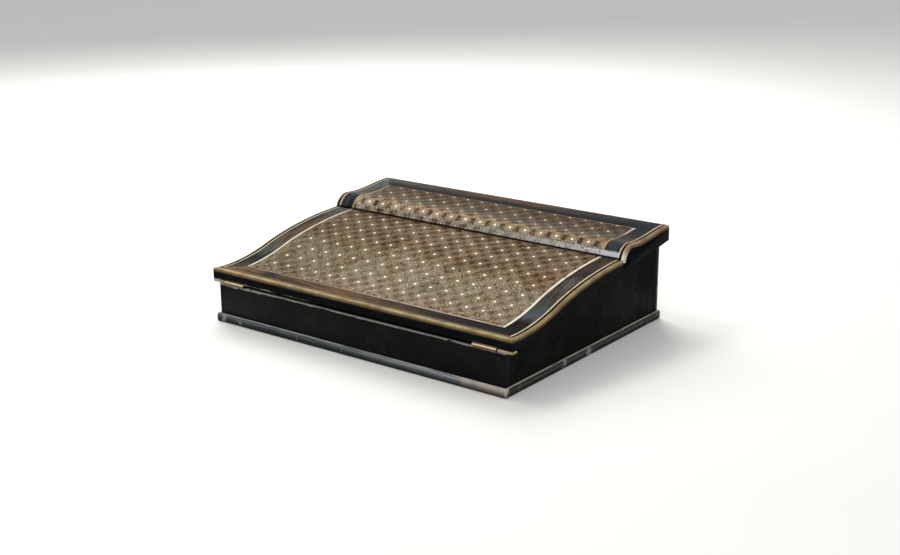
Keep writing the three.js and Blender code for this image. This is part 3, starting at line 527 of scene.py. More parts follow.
@dataclass(frozen=True)
class KickedPlinth(EbonisedWood):
    """Ebonised moulding that shoes and shelves have rubbed grey and chipped, and whose greys also
    hold a painted sheen with highlight lines on its rounded top, brighter towards the right.

    One end of the front is bare: pale wood above, brown below, with a painted highlight on the mitre.
    The tones run up the moulding and hold the painted sheen; knocks are places across the box and back from
    the front.
    """

    top: float = 11.2
    mitre: float = 5.6
    sheen_to_right: Place = (-40.0, 150.0)
    bare_from: float = 159.0
    # Greys by height, partly painted sheen: lighter upwards, with highlight lines at the top edge and the
    # shoulder.
    left: Tones = (
        (0.0, "#1b1e20"), (0.2, "#232729"), (0.37, "#2b3033"), (0.47, "#2f353a"), (0.58, "#454c50"),
        (0.68, "#565d60"), (0.78, "#5a6062"), (0.9, "#5e6263"), (0.95, "#a09f9c"), (1.0, "#a8a7a3"))
    right: Tones = (
        (0.0, "#1f2122"), (0.2, "#2b2e30"), (0.37, "#474c50"), (0.47, "#4d5357"), (0.58, "#6d7377"),
        (0.68, "#7d8386"), (0.78, "#9a9ea0"), (0.88, "#9ea1a0"), (1.0, "#a2a3a1"))
    bare: Tones = (
        (0.05, "#362d28"), (0.16, "#40362f"), (0.27, "#51463d"), (0.37, "#685b50"), (0.47, "#7b6f63"),
        (0.58, "#8d8277"), (0.68, "#9f978d"), (0.78, "#a49e96"), (0.88, "#b0aba4"), (1.0, "#b0aca5"))
    knocks: tuple[Place, ...] = ((-206.0, 0.0), (-181.0, 0.0))
    flaked: float = 0.63
    unbroken: float = 0.25

    def handled(self, graph: Graph, place: Socket) -> Node:
        """Lays greys by height, partly rubs and partly painted sheen, bare wood near the right front corner,
        and a painted highlight on the mitre.
        """
        across, back, up = graph.axes(place)
        height = graph.fade(up, 0.0, self.top * MM)
        streaks = graph.drawn(place, (26.0, 26.0, 700.0), 6.0, 0.7)
        # The painted sheen grows brighter towards the right.
        sheen_to_right = graph.fade(across, self.sheen_to_right[0] * MM, self.sheen_to_right[1] * MM)
        grey = graph.mix(sheen_to_right, graph.ramp(height, self.left), graph.ramp(height, self.right))
        drawn_out = graph.fade(streaks, 0.32, 0.52, self.unbroken)
        # Rubs and painted sheen together.
        rubbed = graph.mix(drawn_out, super().handled(graph, place), grey)
        chips = graph.noise(place, 85.0, 6.0, 0.8)
        chipped = graph.fade(self.knocked(graph, place, chips), self.flaked, self.flaked + 0.04, 0.0, 0.85)
        flaked = graph.mix(chipped, rubbed, "#8e8f8d")
        ragged = graph.math("MULTIPLY_ADD", streaks, 14 * MM, across)
        past = graph.math("GREATER_THAN", ragged, (self.bare_from + 7) * MM)
        front = graph.math("LESS_THAN", back, FRONT_Y + 3 * MM)
        scraped = graph.fade(chips, 0.38, 0.5, 0.35)
        bared = graph.mix(graph.product(past, front, scraped), flaked, graph.ramp(height, self.bare))
        # Painted highlight on the mitre arris.
        corner = graph.math("SUBTRACT", across, back)
        tip = CAD_BOX[1][0] - self.mitre * MM - CAD_BOX[0][1]
        polished = graph.fade(corner, tip - 3 * MM, tip - 0.6 * MM, 0.0, 0.85)
        return graph.mix(graph.product(polished, graph.fade(height, 0.05, 0.8, 0.2)), bared, "#c4c3bd")

    def knocked(self, graph: Graph, place: Socket, chips: Node) -> Node:
        """Makes chips sure near each knock."""
        for x, t in self.knocks:
            away = graph.length("DISTANCE", place, (x * MM, FRONT_Y + t * MM, 0.5 * self.top * MM))
            chips = graph.math("ADD", chips, graph.fade(away, 1 * MM, 7 * MM, 0.2, 0.0))
        return chips


@dataclass(frozen=True)
class StarMosaic(Charted):
    """Mosaic of wood, bone and brass rods sliced across and glued down as a veneer of small stars.

    It gives the eye a brown-grey shimmer of tiny triangles with one bright bone dot in each star.
    The bands tint it along the ogee and also hold a painted sheen where light falls on the slope and
    the roll; the sides tint it across it; leaves and glints say how much of the dark leaves and bright
    dots is left along the ogee. The stars stand one pitch apart, from the first row to the back, and
    so many rods of the ground lie across a pitch.
    """

    first_row: float = 53.9
    reach: float = 230.0
    bands: Tones = EVEN
    leaves: Tones = EVEN
    sides: Tones = EVEN
    glints: Tones = EVEN
    wash: tuple[float, float, float] = (1.0, 1.0, 1.0)
    pitch: float = 22.8
    rods: float = 12.0
    bone: str = "#fffaf0"

    def rosette(self, graph: Graph, place: Node, reach: float, tips: Tones,
                valleys: Tones) -> tuple[Node, Node]:
        """Draws an eight-pointed star round the middle of each cell.

        Args:
            graph: the material's node tree.
            place: the place in the cell, from its middle, in pitches.
            reach: the star's radius, in pitches.
            tips: the rings' colours towards the points.
            valleys: the rings' colours between the points.

        Returns:
            The star's colour, and the mask of what it covers.
        """
        across, along = graph.axes(place)[:2]
        eighth = math.pi / 8
        fold = graph.math("PINGPONG", graph.math("ARCTAN2", along, across), eighth)
        valley = graph.product(fold, 1 / eighth)
        edge = graph.math("MULTIPLY_ADD", valley, -0.3 * reach, reach)
        ring = graph.math("DIVIDE", graph.length("LENGTH", place), edge)
        between = graph.math("GREATER_THAN", valley, 0.52)
        colour = graph.mix(between, graph.ramp(ring, tips, "CONSTANT"), graph.ramp(ring, valleys, "CONSTANT"))
        return colour, graph.math("LESS_THAN", ring, 1.0)

    def leaf(self, graph: Graph, place: Node, half: Place, chance: Socket) -> tuple[Node, Node]:
        """Draws the dark six-sided leaf that lies between two stars.

        Args:
            graph: the material's node tree.
            place: the place from the leaf's middle, in pitches.
            half: its half width and half length, in pitches.
            chance: one chance value for each leaf, which fades some of them.

        Returns:
            The leaf's colour, and the mask of what it covers.
        """
        sized = graph.vector("MULTIPLY", place, (1 / half[0], 1 / half[1], 0.0))
        axes = graph.axes(graph.vector("ABSOLUTE", sized))
        long, short = (0, 1) if half[0] > half[1] else (1, 0)
        slant = graph.math("MULTIPLY_ADD", axes[short], 0.4, axes[long])
        ring = graph.math("MAXIMUM", slant, axes[short])
        colour = graph.ramp(ring, (
            (0.0, "#2c2118"), (0.28, "#523d2a"), (0.42, "#251b13"),
            (0.74, "#5a4632"), (0.88, "#30251b")), "CONSTANT")
        inside = graph.math("LESS_THAN", ring, 1.0)
        return colour, graph.product(inside, graph.fade(chance, 0.0, 1.0, 0.6))

    def ground(self, graph: Graph, cells: Node) -> tuple[Node, Socket]:
        """Cuts the ground into the triangles that rods leave in three directions, each with a chance."""
        rods = []
        for turn in range(3):
            angle = math.radians(60 * turn)
            along = (self.rods * math.cos(angle), self.rods * math.sin(angle), 0.0)
            rods.append(graph.math("FLOOR", graph.length("DOT_PRODUCT", cells, along)))
        chance = self.chance(graph, graph.add("CombineXYZ", *rods))
        tone = graph.ramp(chance, (
            (0.0, "#5a5044"), (0.2, "#958872"), (0.42, "#786e5d"), (0.58, "#ada189"),
            (0.74, "#4d4438"), (0.82, "#908570"), (0.91, "#e6dcc3")), "CONSTANT")
        return tone, chance

    @staticmethod
    def chance(graph: Graph, cell: Node) -> Socket:
        """Gives each cell a chance value from 0 to 1."""
        return graph.add("TexWhiteNoise", cell, noise_dimensions="3D").outputs["Value"]

    def draw(self, graph: Graph) -> Node:
        """Ground of triangles, leaves between the stars, small stars, then the stars with bone dots."""
        chart = graph.chart()
        scale = 1 / (self.pitch * MM)
        first = 0.5 - self.first_row / self.pitch
        wander = graph.noise(chart, 130.0, 2.0).outputs["Color"]
        laid = graph.vector("MULTIPLY_ADD", wander, (1.0 * MM,) * 3, chart)
        centred = graph.vector("ADD", laid, (-0.5 * MM, -0.5 * MM, 0.0))
        cells = graph.vector("MULTIPLY_ADD", centred, (scale, scale, 0.0), (0.0, first, 0.0))
        places, chances = [], []
        for shift in ((0.0, 0.0, 0.0), (0.5, 0.5, 0.0), (0.5, 0.0, 0.0), (0.0, 0.5, 0.0)):
            moved = graph.vector("ADD", cells, shift)
            places.append(graph.vector("SUBTRACT", graph.vector("FRACTION", moved), (0.5, 0.5, 0.0)))
            chances.append(self.chance(graph, graph.vector("FLOOR", moved)))
        colour, chance = self.ground(graph, cells)
        zone = graph.toned(chart, Lay.BACKWARD, (0.0, self.reach), self.leaves)
        for index, half in ((2, (0.15, 0.29)), (3, (0.29, 0.15))):
            leaf, mask = self.leaf(graph, places[index], half, chances[index])
            colour = graph.mix(graph.product(mask, zone), colour, leaf)
        small, mask = self.rosette(
            graph, places[1], 0.3,
            ((0.0, "#d3c6a8"), (0.22, "#6b604d"), (0.42, "#c4b594"), (0.62, "#756b58"), (0.8, "#b6a788")),
            ((0.0, "#d3c6a8"), (0.22, "#988b70"), (0.42, "#62574a"), (0.62, "#b2a285"), (0.8, "#5d5243")))
        colour = graph.mix(mask, colour, small)
        star, mask = self.rosette(
            graph, places[0], 0.4,
            ((0.0, "#59493a"), (0.24, "#bda888"), (0.38, "#5f5040"), (0.5, "#efe3c8"),
             (0.6, "#5c5240"), (0.74, "#b09e7e"), (0.88, "#675949")),
            ((0.0, "#3e3226"), (0.24, "#776850"), (0.38, "#bba681"), (0.5, "#584a3a"),
             (0.6, "#a89880"), (0.74, "#4f4436"), (0.88, "#918268")))
        started = graph.math("GREATER_THAN", graph.axes(cells)[1], 0.0)
        colour = graph.mix(graph.product(mask, started), colour, star)
        washed = graph.vector("MULTIPLY", self.aged(graph, chart, colour, chances[0]), self.wash)
        dot = graph.math("LESS_THAN", graph.length("LENGTH", places[0]), 0.076)
        glint = graph.toned(chart, Lay.BACKWARD, (0.0, self.reach), self.glints)
        dots = graph.product(dot, started, graph.fade(chances[1], 0.0, 1.0, 0.8), glint)
        final = self.footed(graph, chart, graph.mix(dots, washed, self.bone))
        bump = graph.bump(graph.noise(chart, 900.0, 2.0), 0.25, 0.1)
        rough = graph.fade(chance, 0.0, 1.0, 0.22, 0.42)
        return graph.surface(final, Roughness=rough, Normal=bump, Specular_IOR_Level=0.03)

    def aged(self, graph: Graph, chart: Node, colour: Node, chance: Socket) -> Node:
        """Tints the mosaic where old varnish, light and repairs have turned it green, red or pale;
        the bands also lay a painted sheen along the ogee.
        """
        tint = graph.ramp(graph.noise(chart, 24.0, 4.0, 0.65), (
            (0.36, "#c9cdbd"), (0.46, "#f6f3ea"), (0.56, "#e6d5c2"), (0.66, "#dcdfda")))
        tinted = graph.mix(0.8, colour, tint, "MULTIPLY")
        # The bands tint the mosaic and also hold a painted sheen.
        band = graph.toned(chart, Lay.BACKWARD, (0.0, self.reach), self.bands)
        side = graph.toned(chart, Lay.ACROSS, (-195.0, 195.0), self.sides)
        banded = graph.mix(1.0, tinted, graph.mix(1.0, band, side, "MULTIPLY"), "MULTIPLY")
        repaired = graph.ramp(chance, (
            (0.0, "#ffffff"), (0.72, "#ebe6d4"), (0.84, "#e2cbb4"), (0.93, "#cfd4c8")), "CONSTANT")
        return graph.mix(0.7, banded, repaired, "MULTIPLY")


@dataclass(frozen=True)
class StreakedVeneer(Charted):
    """Dark veneer, polished: slate-black ground with fine brown streaks where the stain has faded;
    where a strip's tones hold lighter grey stretches, these are painted reflections.

    Where inner is given, the strip is black up to that run along the ogee, in millimetres.
    """

    tones: Tones
    lay: Lay = Lay.ACROSS
    span: Place = WIDTH
    inner: Place = (0.0, 0.0)
    gloss: float = 0.01

    def draw(self, graph: Graph) -> Node:
        """Tones along the strip, drawn out into light and dark streaks along the grain."""
        chart = graph.chart()
        tone = graph.toned(chart, self.lay, self.span, self.tones)
        across, back = self.lay.value
        streaks = graph.drawn(chart, (40.0 * across, 40.0 * back, 1.0), 7.0, 0.68)
        if self.inner[1]:
            inside = graph.fade(graph.axes(chart)[1], self.inner[0] * MM, self.inner[1] * MM, 0.85, 0.0)
            tone = graph.mix(inside, tone, "#12181a")
        streaked = graph.mix(1.0, tone, graph.fade(streaks, 0.36, 0.64, 0.3, 1.5), "MULTIPLY")
        faded = graph.drawn(chart, (9.0 * across ** 0.6, 9.0 * back ** 0.6, 1.0), 4.0, 0.6)
        dark = graph.mix(graph.fade(faded, 0.5, 0.62, 0.0, 0.75), streaked, "#0f1011")
        rough = graph.fade(streaks, 0.3, 0.7, 0.2, 0.36)
        bump = graph.bump(streaks, 0.12, 0.1)
        return graph.surface(self.footed(graph, chart, dark), Roughness=rough, Normal=bump,
                             Specular_IOR_Level=self.gloss)


@dataclass(frozen=True)
class InlayLine(Charted):
    """A sawn strip of bone or stained holly: smooth and pale, with dirt in its pores."""

    tones: Tones
    lay: Lay = Lay.BACKWARD
    span: Place = FLAP_SPAN
    stained: str = "#7a6650"
    dirt: float = 0.35

    def draw(self, graph: Graph) -> Node:
        """Pale ground with stained lengths and dark pores."""
        chart = graph.chart()
        pale = graph.toned(chart, self.lay, self.span, self.tones)
        stained = graph.fade(graph.noise(chart, 48.0, 4.0, 0.7), 0.64 - 0.4 * self.dirt, 0.78)
        pores = graph.fade(graph.noise(chart, 700.0, 2.0), 0.6, 0.75, 0.0, 0.5)
        colour = graph.mix(pores, graph.mix(stained, pale, self.stained), "#3a2f24")
        return graph.surface(self.footed(graph, chart, colour), Roughness=0.38, Specular_IOR_Level=0.12)


@dataclass(frozen=True)
class Brass(Finish):
    """Cast or drawn brass, handled and never lacquered: gold where rubbed, brown and olive where not.

    Where a height is given for the rubbed foot, it is rubbed bare from that height down, in millimetres, and
    painted pale there as a reflection as well.
    """

    bright: str = "#a08e67"
    dull: str = "#83714f"
    red: str = "#7e5f47"
    # The colour of the painted shade on faces that look down.
    under: str = "#35281a"
    dullness: float = 0.5
    roughness: float = 0.5
    shade_below: float = 0.9
    rubbed_glint_below: float = 0.0

    def draw(self, graph: Graph) -> Node:
        """Metal with tarnish in lengths, red where it was heated, and painted shade where it faces down."""
        place = graph.place()
        lengths = graph.noise(place, 55.0, 5.0, 0.65)
        tarnish = graph.fade(lengths, 0.7 - 0.5 * self.dullness, 0.85 - 0.3 * self.dullness)
        heated = graph.fade(graph.noise(place, 17.0, 3.0, 0.6), 0.52, 0.66, 0.0, 0.65)
        warm = graph.mix(heated, graph.mix(tarnish, self.bright, self.dull), self.red)
        # Painted shade on faces that look down.
        final = graph.mix(graph.fade(graph.upward(), 0.1, 0.8, self.shade_below, 0.0), warm, self.under)
        if self.rubbed_glint_below:
            # Rubbed bare and painted pale as a reflection below that height.
            upper = self.rubbed_glint_below * MM
            worn = graph.fade(graph.axes(place)[2], upper - 9 * MM, upper, 1.5, 0.0)
            final = graph.mix(graph.product(worn, lengths), final, "#dccfc2")
        rough = graph.fade(tarnish, 0.0, 1.0, self.roughness, self.roughness + 0.2)
        bump = graph.bump(graph.noise(place, 600.0, 3.0), 0.06, 0.08)
        return graph.surface(final, Metallic=1.0, Roughness=rough, Normal=bump)


@dataclass(frozen=True)
class OiledWood(Finish):
    """Planed soft cedar, oiled: red-brown with growth rings along the box, ink-stained in places."""

    early: str = "#7a4a2c"
    late: str = "#4c2a18"
    black_sides: bool = False

    def draw(self, graph: Graph) -> Node:
        """Rings 4 mm apart drawn out along X, fine pores, and a few dark stains."""
        place = graph.place()
        rings = graph.add("TexWave", graph.add("Mapping", place, Scale=(8.0, 60.0, 60.0)), Scale=1.3,
                          Distortion=6.0, Detail=3.0, Detail_Scale=1.5, bands_direction="Y")
        colour = graph.mix(rings.outputs["Fac"], self.early, self.late)
        pores = graph.drawn(place, (60.0, 900.0, 900.0), 2.0)
        fine = graph.mix(graph.fade(pores, 0.55, 0.8, 0.0, 0.6), colour, self.late)
        spilt = graph.fade(graph.noise(place, 16.0, 4.0, 0.7), 0.62, 0.7, 0.0, 0.3)
        final = graph.mix(spilt, fine, "#231a18")
        if self.black_sides:
            side = graph.math("LESS_THAN", graph.math("ABSOLUTE", graph.upward()), 0.97)
            final = graph.mix(side, final, "#0b0a0a")
        bump = graph.bump(pores, 0.3, 0.15)
        return graph.surface(final, Roughness=0.55, Normal=bump, Specular_IOR_Level=0.35)


@dataclass(frozen=True)
class TooledLeather(Finish):
    """Skiver leather, dyed dark red and blind tooled, with three gilt lines near its edge."""

    node: str
    dye: str = "#4a1812"
    rubbed: str = "#74402c"
    gilt: str = "#c49a4a"
    lines: tuple[Place, ...] = ((7.0, 0.5), (9.6, 0.9), (12.2, 0.5))

    def draw(self, graph: Graph) -> Node:
        """Pebbled grain, rubbed patches, and gilt lines that follow the edge."""
        place = graph.place()
        low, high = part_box(self.node)
        mask = graph.fade(graph.noise(place, 13.0, 5.0, 0.65), 0.5, 0.75, 0.0, 0.8)
        colour = graph.mix(mask, self.dye, self.rubbed)
        centred = graph.vector("ADD", place, (0.0, -(low.y + high.y) / 2, 0.0))
        half = ((high.x - low.x) / 2, (high.y - low.y) / 2, 1.0)
        across, back = graph.axes(graph.vector("SUBTRACT", half, graph.vector("ABSOLUTE", centred)))[:2]
        edge = graph.math("MINIMUM", across, back)
        drawn, *others = [graph.math("COMPARE", edge, inset * MM, width * MM) for inset, width in self.lines]
        for line in others:
            drawn = graph.math("MAXIMUM", drawn, line)
        gilded = graph.product(drawn, graph.fade(graph.noise(place, 300.0, 3.0), 0.36, 0.44))
        final = graph.mix(gilded, colour, self.gilt)
        bump = graph.bump(graph.add("TexVoronoi", place, Scale=900.0), 0.35, 0.25)
        return graph.surface(final, Metallic=graph.product(gilded, 0.85), Roughness=0.5, Normal=bump)


@dataclass(frozen=True)
class SawnBone(Finish):
    """A thin bone slip, browned by handling, with painted shade along its lower side."""

    clean: str = "#a8967e"
    brown: str = "#7c674f"
    # The colour of the painted shade on faces that look down.
    under: str = "#5c4a38"

    def draw(self, graph: Graph) -> Node:
        """Pale ground with brown lengths, and painted shade where it faces down."""
        mask = graph.fade(graph.noise(graph.place(), 90.0, 4.0), 0.45, 0.65)
        colour = graph.mix(mask, self.clean, self.brown)
        # Painted shade where it faces down.
        final = graph.mix(graph.fade(graph.upward(), -0.9, 0.2, 0.9, 0.0), colour, self.under)
        return graph.surface(final, Roughness=0.45, Specular_IOR_Level=0.2)


@dataclass(frozen=True)
class PressedGlass(Finish):
    """Thick pressed glass with a green cast and slight waves, ink-stained inside."""

    tint: str = "#dfeae4"
    ink: str = "#9fb2ad"

    def draw(self, graph: Graph) -> Node:
        """Clear glass whose surface is a little uneven."""
        place = graph.place()
        tone = graph.ramp(graph.noise(place, 60.0, 4.0), ((0.45, self.tint), (0.7, self.ink)))
        bump = graph.bump(graph.noise(place, 90.0, 1.0), 0.25, 0.3)
        return graph.surface(tone, Roughness=0.06, IOR=1.5, Transmission_Weight=1.0, Normal=bump)


@dataclass(frozen=True)
class PaleCard(Finish):
    """Matt white card under the box, with the faintest unevenness."""

    def draw(self, graph: Graph) -> Node:
        """Plain card."""
        colour = graph.mix(graph.noise(graph.place(), 3.0, 2.0), "#efeeec", "#f4f3f1")
        return graph.surface(colour, Roughness=0.9, Specular_IOR_Level=0.1)


# The inlaid top


@dataclass(frozen=True)
class Ogee:
    """The outline of a top in depth and height, in millimetres, as cubic curves."""

    curves: tuple[tuple[Place, Place, Place, Place], ...]
    steps: int

    def points(self) -> list[Place]:
        """Points along the outline, with equal steps in each curve."""
        found = [self.curves[0][0]]
        for curve in self.curves:
            for step in range(1, self.steps + 1):
                s = step / self.steps
                weights = ((1 - s) ** 3, 3 * s * (1 - s) ** 2, 3 * s * s * (1 - s), s ** 3)
                found.append(tuple(sum(w * p[axis] for w, p in zip(weights, curve)) for axis in (0, 1)))
        return found

    def run_to(self, t: float, z: float) -> float:
        """Measures the outline up to its point that is nearest to a depth and a height."""
        best, total = (math.inf, 0.0), 0.0
        line = self.points()
        for (t0, z0), (t1, z1) in zip(line, line[1:]):
            length = math.hypot(t1 - t0, z1 - z0)
            share = ((t - t0) * (t1 - t0) + (z - z0) * (z1 - z0)) / length ** 2
            share = min(max(share, 0.0), 1.0)
            away = math.hypot(t - t0 - share * (t1 - t0), z - z0 - share * (z1 - z0))
            if away < best[0]:
                best = (away, total + share * length)
            total += length
        return best[1]


@dataclass
class InlaidTop:
    """One part of the top: its mosaic, lines, borders and beads, cut from one sheet along the ogee.

    The rings of the inlay lie between the values of reach on the sides, and between those of
    inward, measured from the end, at the end. All sizes are in millimetres.
    """

    word: str
    body: str
    ogee: Ogee
    end: float
    end_word: str
    inward: tuple[float, ...]
    finishes: dict[str, Finish]
    reach: tuple[float, ...] = (225.0, 220.8, 217.8, 215.6, 195.6, 192.2)
    beyond: float = 500.0
    joint: float = 0.06
    veneer: float = 1.2
    bead_height: float = 4.6
    side_round: float = 3.4
    end_round: float = 4.1
    round_steps: int = 6

    def sheet(self) -> Piece:
        """Rolls a sheet out along the ogee, over the whole width of the top."""
        line = self.ogee.points()
        half = self.reach[0] * MM
        t, z = line[0]
        bpy.ops.mesh.primitive_plane_add(size=2 * half, location=(0, FRONT_Y + t * MM + half, z * MM))
        sheet = bpy.context.active_object
        open_up(sheet)
        pick(sheet, Element.POINT, lambda point: point.co.y > 0)
        bpy.ops.mesh.delete(type="VERT")
        pick(sheet, Element.EDGE, lambda edge: True)
        for (t0, z0), (t1, z1) in zip(line, line[1:]):
            extrude(0, t1 - t0, z1 - z0)
        close_up()
        settle(sheet, f"{self.word}_sheet")
        if sum(face.normal.z for face in sheet.data.polygons) < 0:
            open_up(sheet, "SELECT")
            bpy.ops.mesh.flip_normals()
            close_up()
        return sheet

    def chart(self, piece: Piece) -> None:
        """Gives a piece a map in metres: across the box, and along the ogee."""
        shape = piece.data
        places = [(point.co.x, self.ogee.run_to((point.co.y - FRONT_Y) / MM, point.co.z / MM) * MM)
                  for point in shape.vertices]
        while shape.uv_layers:
            shape.uv_layers.remove(shape.uv_layers[0])
        layer = shape.uv_layers.new(name=SURFACE)
        for loop in shape.loops:
            layer.data[loop.index].uv = places[loop.vertex_index]

    def fences(self, ring: int, arm: str) -> list[Fence]:
        """Lists the cuts that leave one arm, left, right or end, of a ring counted from the outer edge."""
        outer, inner = self.reach[ring], self.reach[ring + 1]
        far, near = self.inward[ring], self.inward[ring + 1]
        if arm == "end":
            cuts = [((-outer, far), (outer, far)), ((outer, far), (inner, near)),
                    ((inner, near), (-inner, near)), ((-inner, near), (-outer, far))]
        else:
            cuts = [((outer, far), (outer, self.beyond)), ((inner, self.beyond), (inner, near)),
                    ((inner, near), (outer, far))]
        return self.placed(cuts, arm == "left")

    def placed(self, cuts: Iterable[Fence], flip_x: bool) -> list[Fence]:
        """Puts cuts, measured inwards from the end of the top, at their depth.

        Args:
            cuts: the cuts, each from one place to another, with what stays on the left of it.
            flip_x: whether they are mirrored, left for right.

        Returns:
            The cuts in plan; one that is mirrored once is also turned round, so that it keeps the same.
        """
        flip_t = self.end > 0
        found = []
        for cut in cuts:
            ends = [(-x if flip_x else x, self.end + (-t if flip_t else t)) for x, t in cut]
            found.append(tuple(ends if flip_x == flip_t else reversed(ends)))
        return found

    def depth_at(self, place: Vector) -> float:
        """Measures how deep a point lies under the outline, straight down, in metres."""
        t = (place.y - FRONT_Y) / MM
        line = self.ogee.points()
        for (t0, z0), (t1, z1) in zip(line, line[1:]):
            if t <= t1 or t1 == line[-1][0]:
                share = (t - t0) / (t1 - t0)
                return (z0 + share * (z1 - z0)) * MM - place.z
        return 0.0

    def cut(self, sheet: Piece, name: str, fences: Iterable[Fence]) -> Piece:
        """Cuts a copy of the sheet to a shape in plan, with no thickness yet."""
        piece = copied(sheet, name)
        open_up(piece)
        for (x0, t0), (x1, t1) in fences:
            left = Vector((t0 - t1, x1 - x0, 0.0)).normalized()
            place = Vector((x0 * MM, FRONT_Y + t0 * MM, 0.0)) + left * self.joint * MM
            bpy.ops.mesh.select_all(action="SELECT")
            bpy.ops.mesh.bisect(plane_co=place, plane_no=left, clear_inner=True)
        close_up()
        return piece

    def thicken(self, piece: Piece, depth: float) -> None:
        """Gives a strip its depth."""
        modify(piece, "SOLIDIFY", thickness=depth * MM, offset=-1.0)
        self.trim(piece)

    def trim(self, piece: Piece) -> None:
        """Cuts off what leans out past the far end of the top."""
        if self.end:
            open_up(piece, "SELECT")
            bpy.ops.mesh.bisect(plane_co=(0, FRONT_Y + self.end * MM, 0), plane_no=(0, 1, 0), use_fill=True,
                                clear_outer=True, threshold=0.001 * MM)
            close_up()

    def bead(self, piece: Piece, arm: str) -> None:
        """Gives the bead of one arm, left, right or end, its depth and rounds its outer arris."""
        lower = 0.5 * self.bead_height * MM
        edge_x = (self.reach[0] - 3 * self.joint) * MM
        edge_y = FRONT_Y + (self.end + 3 * self.joint) * MM

        def outer(edge: bmesh.types.BMEdge) -> bool:
            """Says whether an edge is the upper outer arris."""
            if any(self.depth_at(point.co) > lower for point in edge.verts):
                return False
            if arm == "end":
                return all(point.co.y < edge_y for point in edge.verts)
            return all(abs(point.co.x) > edge_x for point in edge.verts)

        self.thicken(piece, self.bead_height)
        open_up(piece)
        pick(piece, Element.EDGE, outer)
        reach = self.end_round if arm == "end" else self.side_round
        bpy.ops.mesh.bevel(offset=reach * MM, segments=self.round_steps, affect="EDGES")
        close_up()
        self.trim(piece)

    def build(self) -> None:
        """Cuts, thickens and dresses every piece of the inlay."""
        sheet = self.sheet()
        inner, near = self.reach[-1], self.inward[-1]
        middle = [((-inner, near), (inner, near)), ((inner, near), (inner, self.beyond)),
                  ((-inner, self.beyond), (-inner, near))]
        mosaic = self.cut(sheet, f"{self.word}_star_mosaic", self.placed(middle, False))
        self.thicken(mosaic, self.veneer)
        self.dress(mosaic, "mosaic", f"{self.word}_mosaic")
        rings = {0: ("bead", "brass_bead"), 2: ("outer_line", "bone"), 3: ("border", ""),
                 4: ("inner_line", "bone")}
        for ring, (kind, slot) in rings.items():
            for arm in ("end", *SIDES):
                if arm == "end" and self.inward[ring] == self.inward[ring + 1]:
                    continue
                side = self.end_word if arm == "end" else arm
                piece = self.cut(sheet, f"{self.word}_{kind}_{side}_strip", self.fences(ring, arm))
                if kind == "bead":
                    self.bead(piece, arm)
                else:
                    self.thicken(piece, self.veneer)
                node = f"{self.word}_{kind}" if kind.endswith("line") else f"{self.word}_{kind}_{side}"
                self.dress(piece, f"{kind}_{arm}", node)
        bpy.data.objects.remove(sheet)

    def dress(self, piece: Piece, key: str, node: str) -> None:
        """Charts, smooths and finishes one piece of the inlay.

        Args:
            piece: the piece.
            key: which of the top's finishes it takes.
            node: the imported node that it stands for.
        """
        self.chart(piece)
        smooth(piece, 40.0)
        finish_piece(piece, self.body, [node], self.finishes[key].make())


# The case and what lies in it


@dataclass(frozen=True)
class Softened:
    """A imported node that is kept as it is, but for its arrises. Widths are in millimetres."""

    node: str
    body: str
    slot: str
    finish: Finish
    width: float = 0.5
    shortest: float = 12.0
    rubbed: EdgeTest = lambda edge: False
    rubbed_width: float = 0.7
    wear: float = 0.9
    segments: int = 2

    def build(self) -> None:
        """Copies the node, rounds its long arrises, the rubbed ones first, and dresses it."""
        piece = from_node(self.node, f"{self.node}_finished")
        soften(piece, self.rubbed_width, self.shortest, self.rubbed, 4, self.wear)
        soften(piece, self.width, self.shortest, segments=self.segments)
        smooth(piece)
        finish_piece(piece, self.body, [self.node], self.finish.make())


@dataclass
class Carcase:
    """The case: base, walls, plinth, bearer and partitions, and the pen tray in it."""

    wall: Finish = RubbedCorners("ebonised wood, waxed", arris="#8b8c84", rubs=0.5, gloss=0.02,
                                 ground="#070706", cloud="#181816", rub="#3a3935", specked=(0.31, 0.39))
    inner: Finish = OiledWood("cedar, planed and oiled")
    base: Finish = OiledWood("cedar, stained black outside", black_sides=True)
    kicked: Finish = KickedPlinth("ebonised moulding, kicked", rubs=0.3)
    shelved: Finish = KickedPlinth(
        "ebonised moulding of the sides", rubs=0.3, sheen_to_right=(900.0, 1000.0),
        knocks=((219.0, 112.0), (219.0, 162.0)), flaked=0.6, unbroken=0.1,
        # The bright top stops are a painted highlight along the top edge; the greys below are partly painted
        # sheen.
        left=((0.05, "#131312"), (0.16, "#1f201e"), (0.27, "#2a2b28"), (0.37, "#252623"), (0.47, "#3e3f3b"),
              (0.58, "#565752"), (0.68, "#3b3c38"), (0.78, "#2c2d2a"), (0.88, "#40413d"), (0.94, "#9f9f98"),
              (1.0, "#a3a39c")))

    @staticmethod
    def is_corner(edge: bmesh.types.BMEdge) -> bool:
        """Says whether an edge is one of the two upright rear corners of the case."""
        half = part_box("front_wall")[1].x - 0.1 * MM
        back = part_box("rear_wall")[1].y - 0.1 * MM
        return all(abs(point.co.x) > half and point.co.y > back for point in edge.verts)

    def build(self) -> None:
        """Builds every part of the case."""
        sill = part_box("front_wall")[1].z / MM
        front = ChippedArris("ebonised wood of the front", arris="#8b8d84", rubs=0.25, height=sill)
        Softened("front_wall", "case", "ebonised_wood", front, 0.8).build()
        for side in ("rear", *SIDES):
            Softened(f"{side}_wall", "case", "ebonised_wood", self.wall, rubbed=self.is_corner,
                     rubbed_width=1.8).build()
        for side in ("front", *SIDES):
            plinth = self.kicked if side == "front" else self.shelved
            Softened(f"{side}_plinth", "case", "ebonised_wood", plinth, 1.7, segments=4).build()
        Softened("bearer", "case", "ebonised_wood", self.wall).build()
        Softened("bottom_board", "case", "plain_wood", self.base).build()
        for side in SIDES:
            Softened(f"ink_divider_{side}", "case", "plain_wood", self.inner, 0.8).build()
        Softened("pen_tray", "tray", "plain_wood", self.inner, 0.8).build()


